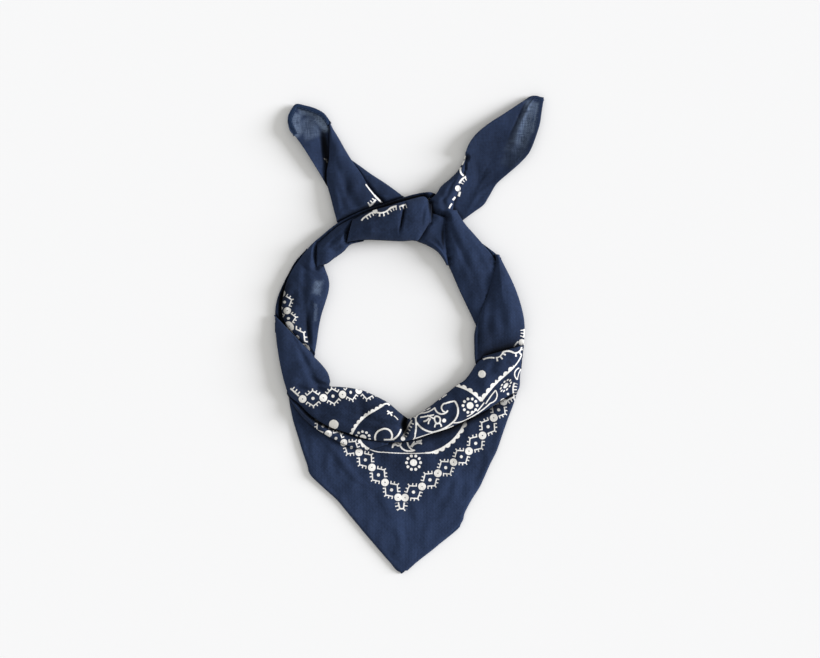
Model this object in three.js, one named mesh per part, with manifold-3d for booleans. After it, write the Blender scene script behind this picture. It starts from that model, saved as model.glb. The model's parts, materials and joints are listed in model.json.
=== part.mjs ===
// A printed cotton bandana. It is folded corner to corner, rolled along the fold into a band,
// closed with a half knot and laid flat on a table, with its point towards the viewer.
// Millimetres, +Z up. The table is at z = 0 and the origin lies under the middle of the whole.
import * as THREE from "three";
import Module from "manifold-3d";
import { mergeVertices } from "three/addons/utils/BufferGeometryUtils.js";

const wasm = await Module();
wasm.setup();

// Driving dimensions
const CLOTH_WALL = 1.3;
const SEAM_GAP = 0.3;
const FRONT_BASE = CLOTH_WALL + SEAM_GAP;
const HEM_WIDTH = 4;
const POINT_HEM_HEIGHT = 3;
const TAIL_HEM_HEIGHT = 2;
const LAYER_NOTCH = 1.1;
const EDGE_BULGE = 0.4;
const SIDE_SHARE = 0.58;
const GROWTH = 0.36;
const LEAST_SLANT = 0.35;
const STEPS_BETWEEN_ROWS = 2;
const BAND_POINTS_ACROSS = 7;
const LEAF_POINTS_ACROSS = 9;
const CROWN_POWER = 0.6;

const NAVY = 0x22334f;
const NAVY_INSIDE = 0x35435c;
const COTTON_ROUGHNESS = 0.88;

// Columns of a band: its outer edge, its inner edge and the height of its crown.
// Columns of a leaf: its left edge, its right edge and how far its underside is lifted at the
// left, in the middle and at the right.
const BAND_COLUMNS = ["outerX", "outerY", "innerX", "innerY", "crown"];
const LEAF_COLUMNS = ["outerX", "outerY", "innerX", "innerY", "liftLeft", "liftMiddle", "liftRight"];

// Columns of a crease: the rows and the shares of the width where it starts and ends, how deep it
// is (a ridge is negative) and half its width as a share of the band's.
const CREASE_COLUMNS = ["fromRow", "toRow", "fromShare", "toShare", "depth", "halfWidth"];

// The roll across the front, from the fold at the left shoulder to the fold at the right one.
const FRONT_ROLL = {
  layers: 3,
  steps: 1,
  rows: [
    [-101.5, 13, -72, -17, 8.5],
    [-101, 1, -67, -22, 10],
    [-99.5, -11.5, -62, -28.5, 11],
    [-97, -25.5, -60, -35, 11.5],
    [-94, -37.5, -60, -39, 11.5],
    [-90.5, -46, -52.5, -39.5, 11.5],
    [-83.5, -52, -43.5, -40.5, 12],
    [-75.5, -60, -34.5, -42.5, 12.5],
    [-67, -66, -24.5, -47, 13],
    [-58, -70.5, -15.5, -52, 13],
    [-46, -74.5, -8, -58.5, 12.5],
    [-33, -78.5, -4, -61.5, 12],
    [-18.5, -81, -1, -63.5, 11],
    [-7, -81, 2.5, -62.5, 10.5],
    [3.5, -79, 8.5, -59, 11.5],
    [15.5, -75, 16.5, -53.5, 12.5],
    [28.5, -71, 24, -47.5, 13],
    [39.5, -66, 30.5, -42.5, 13],
    [52, -60, 36, -38, 13],
    [61, -55, 41, -35, 13],
    [68.5, -50, 45, -30.5, 12.5],
    [76, -45.5, 48.5, -25, 12],
    [82.5, -41, 51, -21.5, 11.5],
    [83.5, -30.5, 53, -19.5, 11.5],
    [84.5, -20, 54, -19, 11],
    [85.5, -10, 55, -18.5, 9.5],
  ],
  creases: [
    [0, 4, 0.55, 0.75, 1.8, 0.16],
    [3, 7, 0.8, 0.45, 1.6, 0.14],
    [9, 14, 0.86, 0.98, 3.4, 0.3],
    [11, 17, 0.95, 0.55, 2.4, 0.16],
    [8, 13, 0.45, 0.8, 1.4, 0.14],
    [17, 23, 0.3, 0.35, 1.2, 0.14],
    [20, 25, 0.75, 0.6, 1.5, 0.16],
  ],
};

// A soft pleat of the point, which comes out from under the roll at the left.
const FRONT_PLEAT = {
  layers: 1,
  base: FRONT_BASE,
  rows: [
    [-91, -43, -91.5, -46.5, 5],
    [-84.5, -49, -86.5, -55, 6],
    [-77, -55.5, -80, -63, 7],
    [-68.5, -62, -72, -70, 7.5],
    [-59.5, -67.5, -63.5, -75.5, 7.5],
    [-49.5, -71, -54.5, -80.5, 7],
    [-40.5, -73.5, -45, -84.5, 6.5],
    [-32, -75.5, -36.5, -86.5, 5.5],
    [-24, -77.5, -28.5, -86.5, 4.8],
    [-16.5, -78.5, -18.5, -83.5, 4.4],
  ],
  creases: [],
};

// The outermost layer of the left shoulder, parted from the next one by a dark gap.
const LEFT_UNDERLAYER = {
  layers: 1,
  rows: [
    [-79, 63, -77, 60.5, 4],
    [-86, 55, -81.5, 52, 4.5],
    [-92, 44.5, -86, 42, 4.5],
    [-96.5, 36, -89, 32, 4.5],
    [-100, 27, -91, 23, 4.5],
    [-101.5, 18, -92.5, 15.5, 4.5],
    [-101.5, 10, -93.5, 8.5, 4.5],
    [-101.5, 3.5, -92.5, 2.5, 4.5],
  ],
  creases: [],
};

// The left shoulder. Its far end runs on as a narrow fold along the back of the knot.
const LEFT_SHOULDER = {
  layers: 2,
  steps: 1,
  rows: [
    [21, 105.5, 19.5, 102.5, 9],
    [15.5, 107.5, 15, 103.5, 12],
    [8, 106.5, 8.5, 102.5, 13],
    [-4, 103, -2.5, 99, 13],
    [-17.5, 97.5, -16, 93.5, 13],
    [-34.5, 92, -33, 88, 12],
    [-49, 87, -46.5, 82.5, 11],
    [-58, 81.5, -54, 77.5, 10],
    [-66.5, 74.5, -60, 72.5, 10],
    [-74, 68, -65, 65.5, 10],
    [-80.5, 60, -66, 58.5, 10],
    [-87, 51, -64.5, 52, 10],
    [-92, 41.5, -61, 41.5, 10],
    [-94.5, 33, -61, 33.5, 10],
    [-96, 25, -63.5, 24.5, 9.5],
    [-96.5, 19, -66.5, 15, 9],
    [-95, 11.5, -68.5, 5.5, 8.5],
    [-91, 5, -70, -5, 8],
    [-85, -2, -71.5, -14, 7.5],
    [-80.5, -7, -72, -20, 7],
  ],
  creases: [
    [13, 19.5, 0.7, 0.55, 2.6, 0.16],
    [13.5, 18, 0.86, 0.84, -0.8, 0.07],
    [10, 14, 0.35, 0.5, 1.2, 0.18],
  ],
};

// Where the left shoulder turns in under the knot.
const LEFT_TURN = {
  layers: 2,
  rows: [
    [-31.5, 90.5, -36.5, 70, 13],
    [-39, 87.5, -44.5, 68, 12.5],
    [-47.5, 83.5, -50, 62.5, 12],
    [-55, 79.5, -57, 57.5, 11.5],
    [-61.5, 74.5, -62.5, 53.5, 11],
    [-68, 69.5, -68.5, 52, 9.5],
  ],
  creases: [[1, 5, 0.35, 0.45, 1.4, 0.2]],
};

// The band that goes over the top of the knot.
const KNOT_BAND = {
  layers: 3,
  rows: [
    [-41, 85, -45.5, 70, 14],
    [-34.5, 87, -39.5, 71, 17],
    [-25.5, 90, -30, 71.5, 18.5],
    [-16.5, 93.5, -18.5, 71, 19],
    [-5.5, 97.5, -6.5, 70.5, 19],
    [3.5, 101, 2, 71, 18.5],
    [10, 102.5, 7.5, 71, 17.5],
    [14, 101.5, 12, 78.5, 16.5],
    [16.5, 96, 16, 86, 15],
  ],
  creases: [
    [3.6, 5.4, 0.25, 0.7, 1.6, 0.3],
    [1, 3, 0.75, 0.6, 1.2, 0.16],
  ],
};

// The flap of the left tail, folded over from its right side.
const LEFT_TAIL_FLAP = {
  layers: 2,
  rows: [
    [-51, 73, -15.5, 92.5, 11],
    [-54, 83, -20, 99.5, 11],
    [-57, 93.5, -25.5, 105.5, 10],
    [-59.5, 103.5, -31.5, 113, 9],
    [-62, 113, -36.5, 121.5, 8.5],
    [-62.5, 122.5, -43.5, 131.5, 8],
    [-61, 132, -49, 140.5, 7],
    [-60.5, 141, -53.5, 148.5, 6],
    [-60.5, 149.5, -57.5, 155, 5],
    [-60.5, 155.5, -59.5, 159, 4],
  ],
  creases: [[0, 6, 0.5, 0.45, 1.3, 0.2]],
};

// The end of the left tail, which shows its inside and stands up along its left edge.
const LEFT_TAIL_LEAF = {
  steps: 1,
  rows: [
    [-88, 172, -83, 174, 3.5, 3, 3],
    [-91.5, 165.5, -73, 171.5, 4.5, 1.2, 3],
    [-91.5, 159.5, -64.5, 167, 5.5, 0.3, 3],
    [-90, 153.5, -60, 160, 6, 0, 2.6],
    [-85, 148, -57, 151, 6, 0, 2],
    [-80, 141, -55, 142, 6, 0, 1.2],
    [-74, 131.5, -54, 133.5, 5.5, 0, 0.6],
    [-68, 122.5, -55, 124.5, 5, 0, 0.2],
    [-62.5, 113, -55, 114.5, 4, 0, 0],
    [-58.5, 104, -52, 105, 3, 0, 0],
  ],
  creases: [],
};

// The layer of the left tail that shows behind the flap.
const LEFT_TAIL_REAR = {
  layers: 1,
  rows: [
    [-44.5, 132.5, -48, 127.5, 4],
    [-37.5, 127.5, -45, 117, 4.5],
    [-28.5, 121, -39.5, 107, 5],
    [-18.5, 114.5, -33, 98, 6],
    [-9.5, 108, -24.5, 91, 7],
    [-2.5, 102.5, -16.5, 86.5, 8],
  ],
  creases: [],
};

// The right tail, a long leaf that stands up along its left edge.
const RIGHT_TAIL_LEAF = {
  steps: 1,
  rows: [
    [23, 85, 35, 82, 2, 0, 0],
    [27, 91, 40.5, 86.5, 2, 0, 0],
    [30, 97.5, 48.5, 92.5, 2.5, 0.5, 0],
    [33.5, 105.5, 56, 98, 3.5, 1.5, 0],
    [37.5, 114.5, 60.5, 105, 5, 1.5, 0.5],
    [40.5, 124, 66, 114, 6, 1, 1],
    [42, 132.5, 75, 122, 7, 0.6, 1.5],
    [43.5, 141, 83.5, 129.5, 7.5, 0.4, 2.5],
    [49.5, 150.5, 90.5, 137.5, 7, 0.4, 3],
    [59.5, 159, 95, 148, 6, 0.6, 3],
    [71, 166.5, 98.5, 159, 5, 1, 2.6],
    [81.5, 173.5, 100, 169, 4, 1.4, 2.2],
    [89.5, 178.5, 101, 175, 3, 1.6, 2],
    [94.5, 180.5, 101.5, 178, 2.4, 1.8, 2],
  ],
  creases: [[8, 13, 0.72, 0.3, -1, 0.16]],
};

// The small rounded fold at the root of the right tail.
const RIGHT_TAIL_FOLD = {
  layers: 2,
  rows: [
    [17, 85, 32, 85, 13],
    [16, 92.5, 33, 92.5, 14],
    [16.5, 99.5, 33.5, 99.5, 14],
    [20.5, 105.5, 36, 105.5, 13],
    [24, 112, 38, 112.5, 12],
    [30.5, 117.5, 40.5, 119, 11],
    [36, 123, 42, 125.5, 9.5],
    [39.5, 128.5, 42.5, 131, 8],
  ],
  creases: [[1, 5, 0.6, 0.5, 1, 0.2]],
};

// The fold that comes out from under the knot at its right.
const KNOT_FOLD = {
  layers: 2,
  rows: [
    [14, 90.5, 27.5, 86, 10.5],
    [8.5, 79, 27, 79.5, 10.5],
    [4, 72, 27.5, 74, 10],
    [12, 68, 28, 69, 9.5],
    [18.5, 64.5, 28.5, 63.5, 9.5],
    [23, 60.5, 29, 58.5, 9],
    [27, 54.5, 29.5, 54, 8],
  ],
  creases: [],
};

// The upper half of the right shoulder.
const RIGHT_UPPER = {
  layers: 2,
  rows: [
    [23, 92.5, 36.5, 92, 12],
    [24.5, 82, 42, 83.5, 12],
    [27, 69.5, 49, 75.5, 11.5],
    [29, 54.5, 55.5, 68, 11],
    [33, 44.5, 61.5, 61, 10],
    [37.5, 34, 66, 53.5, 9],
    [42, 24.5, 68, 44.5, 8],
    [46.5, 15, 68.5, 33.5, 7],
    [50, 7.5, 68.5, 24.5, 6],
    [53.5, 0.5, 70, 15, 5.5],
  ],
  creases: [[3, 8, 0.75, 0.6, 1, 0.2]],
};

// The lower half of the right shoulder, folded over the upper one.
const RIGHT_LOWER = {
  layers: 2,
  steps: 1,
  rows: [
    [65, 58.5, 68.5, 58.5, 8],
    [65, 52.5, 72, 51.5, 9.5],
    [62.5, 41.5, 77, 41.5, 10.5],
    [58.5, 29, 81, 32, 11],
    [54, 18, 84.5, 21, 11],
    [51, 9, 86.5, 11.5, 10.5],
    [49, 0.5, 87, 3.5, 10],
    [49, -9.5, 86.5, -5, 9],
    [49.5, -19.5, 85.5, -14, 8],
    [52, -28.5, 84.5, -24, 7.5],
  ],
  creases: [
    [5, 9, 0.14, 0.14, 1.2, 0.07],
    [4, 8, 0.5, 0.6, 1, 0.2],
  ],
};

// The hemmed edge that shows behind the right shoulder where the two halves cross.
const RIGHT_BACK_HEM = {
  layers: 1,
  rows: [
    [53.5, 70, 52, 67, 5],
    [61, 64.5, 58.5, 61.5, 5],
    [68, 59, 65.5, 55.5, 5],
  ],
  creases: [],
};

// The point at the front, two layers of the folded square. The rows run down to the tip.
const POINT_FRONT = {
  steps: 1,
  rows: [
    [-91.5, -45, 82, -42, 0.4, 0.4, 0.4],
    [-90.5, -53, 78.5, -53, 0.4, 0.4, 0.4],
    [-88, -65, 74, -65, 0.4, 0.2, 0.4],
    [-84.5, -76.5, 70, -76.5, 0.5, 0, 0.4],
    [-81, -88, 66, -88, 0.6, 0, 0.5],
    [-77.5, -98, 61, -98, 0.6, 0, 0.6],
    [-75, -106, 57, -107, 0.4, 0, 0.6],
    [-66, -115, 53, -115.5, 0.2, 0, 0.5],
    [-55, -125, 47, -125, 0, 0, 0.5],
    [-47, -134.5, 42, -134.5, 0, 0, 0.4],
    [-39.5, -143.5, 38.5, -143.5, 0, 0, 0.2],
    [-26, -159.5, 21.5, -159.5, 0, 0, 0],
    [-16, -171, 7, -171, 0, 0, 0],
    [-9, -178.5, -1.5, -178.5, 0, 0, 0],
  ],
  creases: [
    [2, 7, 0.12, 0.3, -1.4, 0.07],
    [3, 9, 0.85, 0.72, -1.2, 0.07],
    [5, 11, 0.5, 0.62, -0.8, 0.09],
  ],
};

// The layer below lies flat on the table under the same outline.
const POINT_BACK = {
  steps: 1,
  rows: POINT_FRONT.rows.map((row) => [...row.slice(0, 4), 0, 0, 0]),
  creases: [],
};

// Edges that carry a hem. Columns: x, y and how far the hem's underside is lifted.
const POINT_LEFT_EDGE = [
  [-76, -104, 0],
  [-72, -108.5, 0],
  [-53.5, -126.5, 0],
  [-32, -152.5, 0],
  [-17, -169.5, 0],
  [-10.5, -178, 0],
  [-5, -180.5, 0],
];
const POINT_RIGHT_EDGE = [
  [-6, -181, 0],
  [1.5, -175, 0],
  [15, -164.5, 0],
  [35, -148.5, 0],
  [39, -143, 0],
  [42.5, -132, 0],
];
const LEFT_TAIL_EDGE = [
  [-88, 150.5, 5.5],
  [-91.8, 159.4, 5],
  [-91.4, 165.4, 4],
  [-89, 170.7, 3.2],
  [-85.5, 174.3, 2.8],
  [-79, 173.2, 2.6],
  [-73, 171.5, 2.6],
  [-64.7, 167.2, 2.6],
  [-59.5, 160.5, 2.4],
];
const RIGHT_TAIL_EDGE = [
  [83.5, 129.5, 2.2],
  [90.5, 137.5, 2.6],
  [95, 148, 2.6],
  [98.5, 159, 2.4],
  [100, 169, 2],
  [101.5, 178.5, 1.8],
];

function readTable(columns, rows) {
  return rows.map((row) => Object.fromEntries(columns.map((name, i) => [name, row[i]])));
}

// Puts extra rows between those of a table, on a smooth curve through each column.
function smoothed(sections, steps) {
  const names = Object.keys(sections[0]);
  const last = sections.length - 1;
  const result = [];
  for (let k = 0; k <= last * steps; k += 1) {
    const row = Math.min(Math.floor(k / steps), last - 1);
    const t = k / steps - row;
    const at = (i) => sections[THREE.MathUtils.clamp(i, 0, last)];
    const section = { row: k / steps };
    for (const name of names) {
      const [a, b, c, d] = [at(row - 1)[name], at(row)[name], at(row + 1)[name], at(row + 2)[name]];
      const bend = 2 * a - 5 * b + 4 * c - d;
      section[name] = b + 0.5 * t * (c - a + t * (bend + t * (3 * (b - c) + d - a)));
    }
    result.push(section);
  }
  return result;
}

// How far the creases lower the cloth at one place.
function creaseDepth(creases, row, share) {
  let depth = 0;
  for (const crease of creases) {
    const along = (row - crease.fromRow) / (crease.toRow - crease.fromRow);
    if (along <= 0 || along >= 1) {
      continue;
    }
    const centre = THREE.MathUtils.lerp(crease.fromShare, crease.toShare, along);
    const across = Math.abs(share - centre) / crease.halfWidth;
    if (across < 1) {
      depth += crease.depth * Math.sin(Math.PI * along) * (0.5 + 0.5 * Math.cos(Math.PI * across));
    }
  }
  return depth;
}

// The closed section of a band: a flat underside, sides that show its layers and a crowned top.
function bandRing(section, layers, creases) {
  const width = Math.hypot(section.innerX - section.outerX, section.innerY - section.outerY);
  const notch = Math.min(LAYER_NOTCH, 0.12 * width);
  const side = section.crown * SIDE_SHARE;
  const ring = [[notch / width, 0], [1 - notch / width, 0]];
  const levels = 2 * layers;
  const sideInset = (level) => (level % 2 === 1 ? 0 : notch / width);
  for (let level = 1; level <= levels; level += 1) {
    ring.push([1 - sideInset(level), (side * level) / levels]);
  }
  for (let k = BAND_POINTS_ACROSS; k >= 1; k -= 1) {
    const t = k / (BAND_POINTS_ACROSS + 1);
    const share = notch / width + t * (1 - (2 * notch) / width);
    const rise = (section.crown - side) * Math.sin(Math.PI * t) ** CROWN_POWER;
    ring.push([share, side + rise - creaseDepth(creases, section.row, share)]);
  }
  for (let level = levels; level >= 1; level -= 1) {
    ring.push([sideInset(level), (side * level) / levels]);
  }
  return ring;
}

// The closed section of a leaf: one wall of cloth that follows its lift across.
function leafRing(section, wall, base, creases) {
  const width = Math.hypot(section.innerX - section.outerX, section.innerY - section.outerY);
  const bulge = Math.min(EDGE_BULGE, 0.1 * width) / width;
  const under = (t) => {
    const left = section.liftLeft * (1 - t) * (1 - 2 * t);
    const middle = 4 * section.liftMiddle * t * (1 - t);
    const right = section.liftRight * t * (2 * t - 1);
    const lift = left + middle + right - creaseDepth(creases, section.row, t);
    return base + Math.max(0, lift);
  };
  const ring = [];
  for (let k = 0; k < LEAF_POINTS_ACROSS; k += 1) {
    const t = bulge + (k / (LEAF_POINTS_ACROSS - 1)) * (1 - 2 * bulge);
    ring.push([t, under(t)]);
  }
  ring.push([1, under(1) + wall / 2]);
  for (let k = LEAF_POINTS_ACROSS - 1; k >= 0; k -= 1) {
    const t = bulge + (k / (LEAF_POINTS_ACROSS - 1)) * (1 - 2 * bulge);
    ring.push([t, under(t) + wall]);
  }
  ring.push([0, under(0) + wall / 2]);
  return ring;
}

// Joins a row of closed sections into one closed solid.
function loft(sections, rings) {
  const count = rings[0].length;
  const positions = [];
  const index = [];
  sections.forEach((section, i) => {
    for (const [share, z] of rings[i]) {
      const x = THREE.MathUtils.lerp(section.outerX, section.innerX, share);
      const y = THREE.MathUtils.lerp(section.outerY, section.innerY, share);
      positions.push(x, y, z);
    }
  });
  for (let i = 0; i + 1 < rings.length; i += 1) {
    for (let k = 0; k < count; k += 1) {
      const next = (k + 1) % count;
      const [a, b, c, d] = [i * count + k, i * count + next, (i + 1) * count + next, (i + 1) * count + k];
      index.push(a, b, c, a, c, d);
    }
  }
  const width = (s) => Math.hypot(s.innerX - s.outerX, s.innerY - s.outerY);
  for (const [i, flip] of [[0, true], [rings.length - 1, false]]) {
    const outline = rings[i].map(([share, z]) => new THREE.Vector2(share * width(sections[i]), z));
    for (const [a, b, c] of THREE.ShapeUtils.triangulateShape(outline, [])) {
      const corners = flip ? [c, b, a] : [a, b, c];
      index.push(...corners.map((corner) => corner + i * count));
    }
  }
  const geometry = new THREE.BufferGeometry();
  geometry.setAttribute("position", new THREE.Float32BufferAttribute(positions, 3));
  geometry.setIndex(index);
  return facingOut(geometry);
}

function signedVolume(geometry) {
  const index = geometry.index.array;
  const corner = (i) => new THREE.Vector3().fromBufferAttribute(geometry.attributes.position, index[i]);
  let volume = 0;
  for (let i = 0; i < index.length; i += 3) {
    volume += corner(i).dot(corner(i + 1).cross(corner(i + 2))) / 6;
  }
  return volume;
}

function facingOut(geometry) {
  if (signedVolume(geometry) < 0) {
    geometry.setIndex(Array.from(geometry.index.array).reverse());
  }
  return geometry;
}

// Moves both edges of each section out by the seam gap, and the two ends too, whatever the angle
// between a section and its edge.
function widened(sections) {
  const last = sections.length - 1;
  const point = (i, side) => new THREE.Vector2(sections[i][`${side}X`], sections[i][`${side}Y`]);
  const result = sections.map((section, i) => {
    const across = point(i, "inner").sub(point(i, "outer")).normalize();
    const moved = { ...section };
    for (const [side, sign] of [["outer", -1], ["inner", 1]]) {
      const along = point(Math.min(i + 1, last), side).sub(point(Math.max(i - 1, 0), side));
      const slant = along.length() > 0 ? Math.abs(along.normalize().cross(across)) : 1;
      const step = (sign * GROWTH) / Math.max(slant, LEAST_SLANT);
      moved[`${side}X`] += across.x * step;
      moved[`${side}Y`] += across.y * step;
    }
    return moved;
  });
  for (const [end, next] of [[0, 1], [last, last - 1]]) {
    const across = point(end, "inner").sub(point(end, "outer")).normalize();
    const outward = new THREE.Vector2(-across.y, across.x).multiplyScalar(GROWTH);
    const away = point(end, "outer").sub(point(next, "outer")).dot(outward) > 0 ? 1 : -1;
    for (const side of ["outer", "inner"]) {
      result[end][`${side}X`] += outward.x * away;
      result[end][`${side}Y`] += outward.y * away;
    }
  }
  return result;
}

// The plain section that covers a band's section with the seam gap round it.
function coverRing(section, layers, creases) {
  const top = bandRing(section, layers, creases).slice(2 + 2 * layers, 2 + 2 * layers + BAND_POINTS_ACROSS);
  const side = section.crown * SIDE_SHARE + GROWTH;
  const crown = top.map(([share, z]) => [share, z + GROWTH]);
  return [[0, -GROWTH], [1, -GROWTH], [1, side], ...crown, [0, side]];
}

// A piece has its own shape and the cover that its neighbours are cut back by.
function bandPiece(sections, layers, creases, base) {
  const lifted = (ring, section) => ring.map(([share, z]) => [share, z + base + (section.lift ?? 0)]);
  const rings = sections.map((section) => lifted(bandRing(section, layers, creases), section));
  const covers = sections.map((section) => lifted(coverRing(section, layers, creases), section));
  return { shape: loft(sections, rings), cover: toSolid(loft(widened(sections), covers)) };
}

function band({ rows, layers, creases, base = 0, steps = STEPS_BETWEEN_ROWS }) {
  const sections = smoothed(readTable(BAND_COLUMNS, rows), steps);
  return bandPiece(sections, layers, readTable(CREASE_COLUMNS, creases), base);
}

function leaf({ rows, creases, steps = STEPS_BETWEEN_ROWS }, wall, base) {
  const folds = readTable(CREASE_COLUMNS, creases);
  const sections = smoothed(readTable(LEAF_COLUMNS, rows), steps);
  return { shape: loft(sections, sections.map((section) => leafRing(section, wall, base, folds))) };
}

// A hem: a narrow doubled strip that follows an edge, on the side that `inward` says.
function hem(edge, inward, height) {
  const sections = edge.map(([x, y, lift], i) => {
    const before = edge[Math.max(i - 1, 0)];
    const after = edge[Math.min(i + 1, edge.length - 1)];
    const along = new THREE.Vector2(after[0] - before[0], after[1] - before[1]).normalize();
    const innerX = x - along.y * inward * HEM_WIDTH;
    const innerY = y + along.x * inward * HEM_WIDTH;
    return { row: i, outerX: x, outerY: y, innerX, innerY, crown: height, lift };
  });
  return bandPiece(sections, 2, [], 0);
}

function toSolid(geometry) {
  const bare = geometry.clone();
  bare.deleteAttribute("normal");
  bare.deleteAttribute("uv");
  const merged = mergeVertices(bare, 1e-4);
  const vertProperties = new Float32Array(merged.attributes.position.array);
  const triVerts = new Uint32Array(merged.index.array);
  return new wasm.Manifold(new wasm.Mesh({ numProp: 3, vertProperties, triVerts }));
}

function toGeometry(solid) {
  const mesh = solid.getMesh();
  const geometry = new THREE.BufferGeometry();
  geometry.setAttribute("position", new THREE.Float32BufferAttribute(mesh.vertProperties, 3));
  geometry.setIndex(Array.from(mesh.triVerts));
  return geometry;
}

// Cuts a piece back to the seam gap wherever its neighbours cover it, and keeps its largest part.
function trimmed(piece, neighbours) {
  let solid = toSolid(piece.shape);
  for (const neighbour of neighbours) {
    solid = solid.subtract(neighbour.cover);
  }
  const parts = solid.decompose();
  parts.sort((a, b) => b.volume() - a.volume());
  return { shape: toGeometry(parts[0]), cover: piece.cover };
}

const knotBand = band(KNOT_BAND);
const frontRoll = band(FRONT_ROLL);
const rightLower = trimmed(band(RIGHT_LOWER), [frontRoll]);
const knotFold = trimmed(band(KNOT_FOLD), [knotBand]);
const rightTailFold = trimmed(band(RIGHT_TAIL_FOLD), [knotBand, knotFold]);
const rightUpper = trimmed(band(RIGHT_UPPER), [knotBand, rightLower, knotFold, rightTailFold]);
const leftTurn = trimmed(band(LEFT_TURN), [knotBand]);
const leftShoulder = trimmed(band(LEFT_SHOULDER), [knotBand, leftTurn, frontRoll, rightTailFold]);
const leftUnderlayer = trimmed(band(LEFT_UNDERLAYER), [leftShoulder, frontRoll]);
const leftTailFlap = trimmed(band(LEFT_TAIL_FLAP), [knotBand, leftTurn, leftShoulder]);
const leftTailRear = trimmed(band(LEFT_TAIL_REAR), [knotBand, leftShoulder, leftTailFlap]);
const leftTailHem = trimmed(hem(LEFT_TAIL_EDGE, -1, TAIL_HEM_HEIGHT), [leftTailFlap]);
const leftTailLeaf = trimmed(leaf(LEFT_TAIL_LEAF, CLOTH_WALL, 0), [leftTailFlap, leftTailHem]);
const rightTailHem = hem(RIGHT_TAIL_EDGE, 1, TAIL_HEM_HEIGHT);
const rightTailCovers = [rightTailFold, rightUpper, knotFold, rightTailHem];
const rightTailLeaf = trimmed(leaf(RIGHT_TAIL_LEAF, 2 * CLOTH_WALL, 0), rightTailCovers);
const rightBackHem = trimmed(band(RIGHT_BACK_HEM), [rightUpper, rightLower]);
const pointLeftHem = hem(POINT_LEFT_EDGE, 1, POINT_HEM_HEIGHT);
const pointRightHem = trimmed(hem(POINT_RIGHT_EDGE, 1, POINT_HEM_HEIGHT), [pointLeftHem]);
const frontPleat = trimmed(band(FRONT_PLEAT), [frontRoll]);
const pointCovers = [frontRoll, pointLeftHem, pointRightHem];
const pointBack = trimmed(leaf(POINT_BACK, CLOTH_WALL, 0), pointCovers);
const pointFront = trimmed(leaf(POINT_FRONT, CLOTH_WALL, FRONT_BASE), [...pointCovers, frontPleat]);

function cotton(color) {
  return new THREE.MeshStandardMaterial({ color, roughness: COTTON_ROUGHNESS, metalness: 0 });
}

function subPart(name, piece, color) {
  const mesh = new THREE.Mesh(piece.shape, cotton(color));
  mesh.name = name;
  return mesh;
}

const bandana = new THREE.Group();
bandana.add(
  subPart("knot_band", knotBand, NAVY),
  subPart("knot_fold", knotFold, NAVY),
  subPart("front_roll", frontRoll, NAVY),
  subPart("front_pleat", frontPleat, NAVY),
  subPart("point_front", pointFront, NAVY),
  subPart("point_back", pointBack, NAVY),
  subPart("point_left_hem", pointLeftHem, NAVY),
  subPart("point_right_hem", pointRightHem, NAVY),
  subPart("right_lower", rightLower, NAVY),
  subPart("right_upper", rightUpper, NAVY),
  subPart("right_back_hem", rightBackHem, NAVY),
  subPart("left_turn", leftTurn, NAVY),
  subPart("left_shoulder", leftShoulder, NAVY),
  subPart("left_underlayer", leftUnderlayer, NAVY),
  subPart("left_tail_flap", leftTailFlap, NAVY),
  subPart("left_tail_rear", leftTailRear, NAVY),
  subPart("left_tail_leaf", leftTailLeaf, NAVY_INSIDE),
  subPart("left_tail_hem", leftTailHem, NAVY),
  subPart("right_tail_fold", rightTailFold, NAVY),
  subPart("right_tail_leaf", rightTailLeaf, NAVY),
  subPart("right_tail_hem", rightTailHem, NAVY),
);

export default bandana;
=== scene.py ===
"""A printed cotton bandana, folded corner to corner, rolled, tied in a half knot and laid flat."""

import json
import math

import bpy
import numpy as np
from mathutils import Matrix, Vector

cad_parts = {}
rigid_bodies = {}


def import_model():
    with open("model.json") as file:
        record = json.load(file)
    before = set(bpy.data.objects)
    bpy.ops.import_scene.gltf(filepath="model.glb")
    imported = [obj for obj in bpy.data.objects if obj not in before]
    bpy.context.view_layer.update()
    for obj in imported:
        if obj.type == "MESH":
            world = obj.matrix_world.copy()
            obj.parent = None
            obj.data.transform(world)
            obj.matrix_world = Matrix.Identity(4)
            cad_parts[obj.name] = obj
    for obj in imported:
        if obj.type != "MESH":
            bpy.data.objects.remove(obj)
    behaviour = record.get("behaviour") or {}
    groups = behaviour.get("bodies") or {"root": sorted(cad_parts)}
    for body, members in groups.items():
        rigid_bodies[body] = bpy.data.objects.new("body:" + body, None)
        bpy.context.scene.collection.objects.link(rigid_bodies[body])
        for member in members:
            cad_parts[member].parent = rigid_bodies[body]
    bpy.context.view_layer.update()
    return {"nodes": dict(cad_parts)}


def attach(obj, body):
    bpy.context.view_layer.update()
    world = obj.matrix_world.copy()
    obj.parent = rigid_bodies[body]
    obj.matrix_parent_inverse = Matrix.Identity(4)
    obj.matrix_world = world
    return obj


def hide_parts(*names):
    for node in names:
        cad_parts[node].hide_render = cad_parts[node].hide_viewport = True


bl_info = {
    "name": "Tied Bandana",
    "version": (1, 0, 0),
    "blender": (4, 5, 0),
    "location": "3D View > Sidebar > Bandana",
    "description": "Rolls, ties and prints a square of navy cotton, laid flat on a table",
    "category": "Add Mesh",
}

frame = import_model()

MM = 0.001

# Sizes are in millimetres.

# Which way the threads lie, in radians: at 45 degrees where the square is folded corner to corner,
# and nearly straight on the tails.
BIAS_GRAIN = math.pi / 4
STRAIGHT_GRAIN = 0.06

# The cloth is drawn thicker than real bandana cotton, 0.25 mm, so that its edges show.
CLOTH_WALL = 0.5
HEM_WALL = 0.4
FACE_LENGTH = 1.1
# The lowest that the outer and the inner side of the cloth may lie.
OUTER_CLEAR = 0.03
INNER_CLEAR = 0.02

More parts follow.
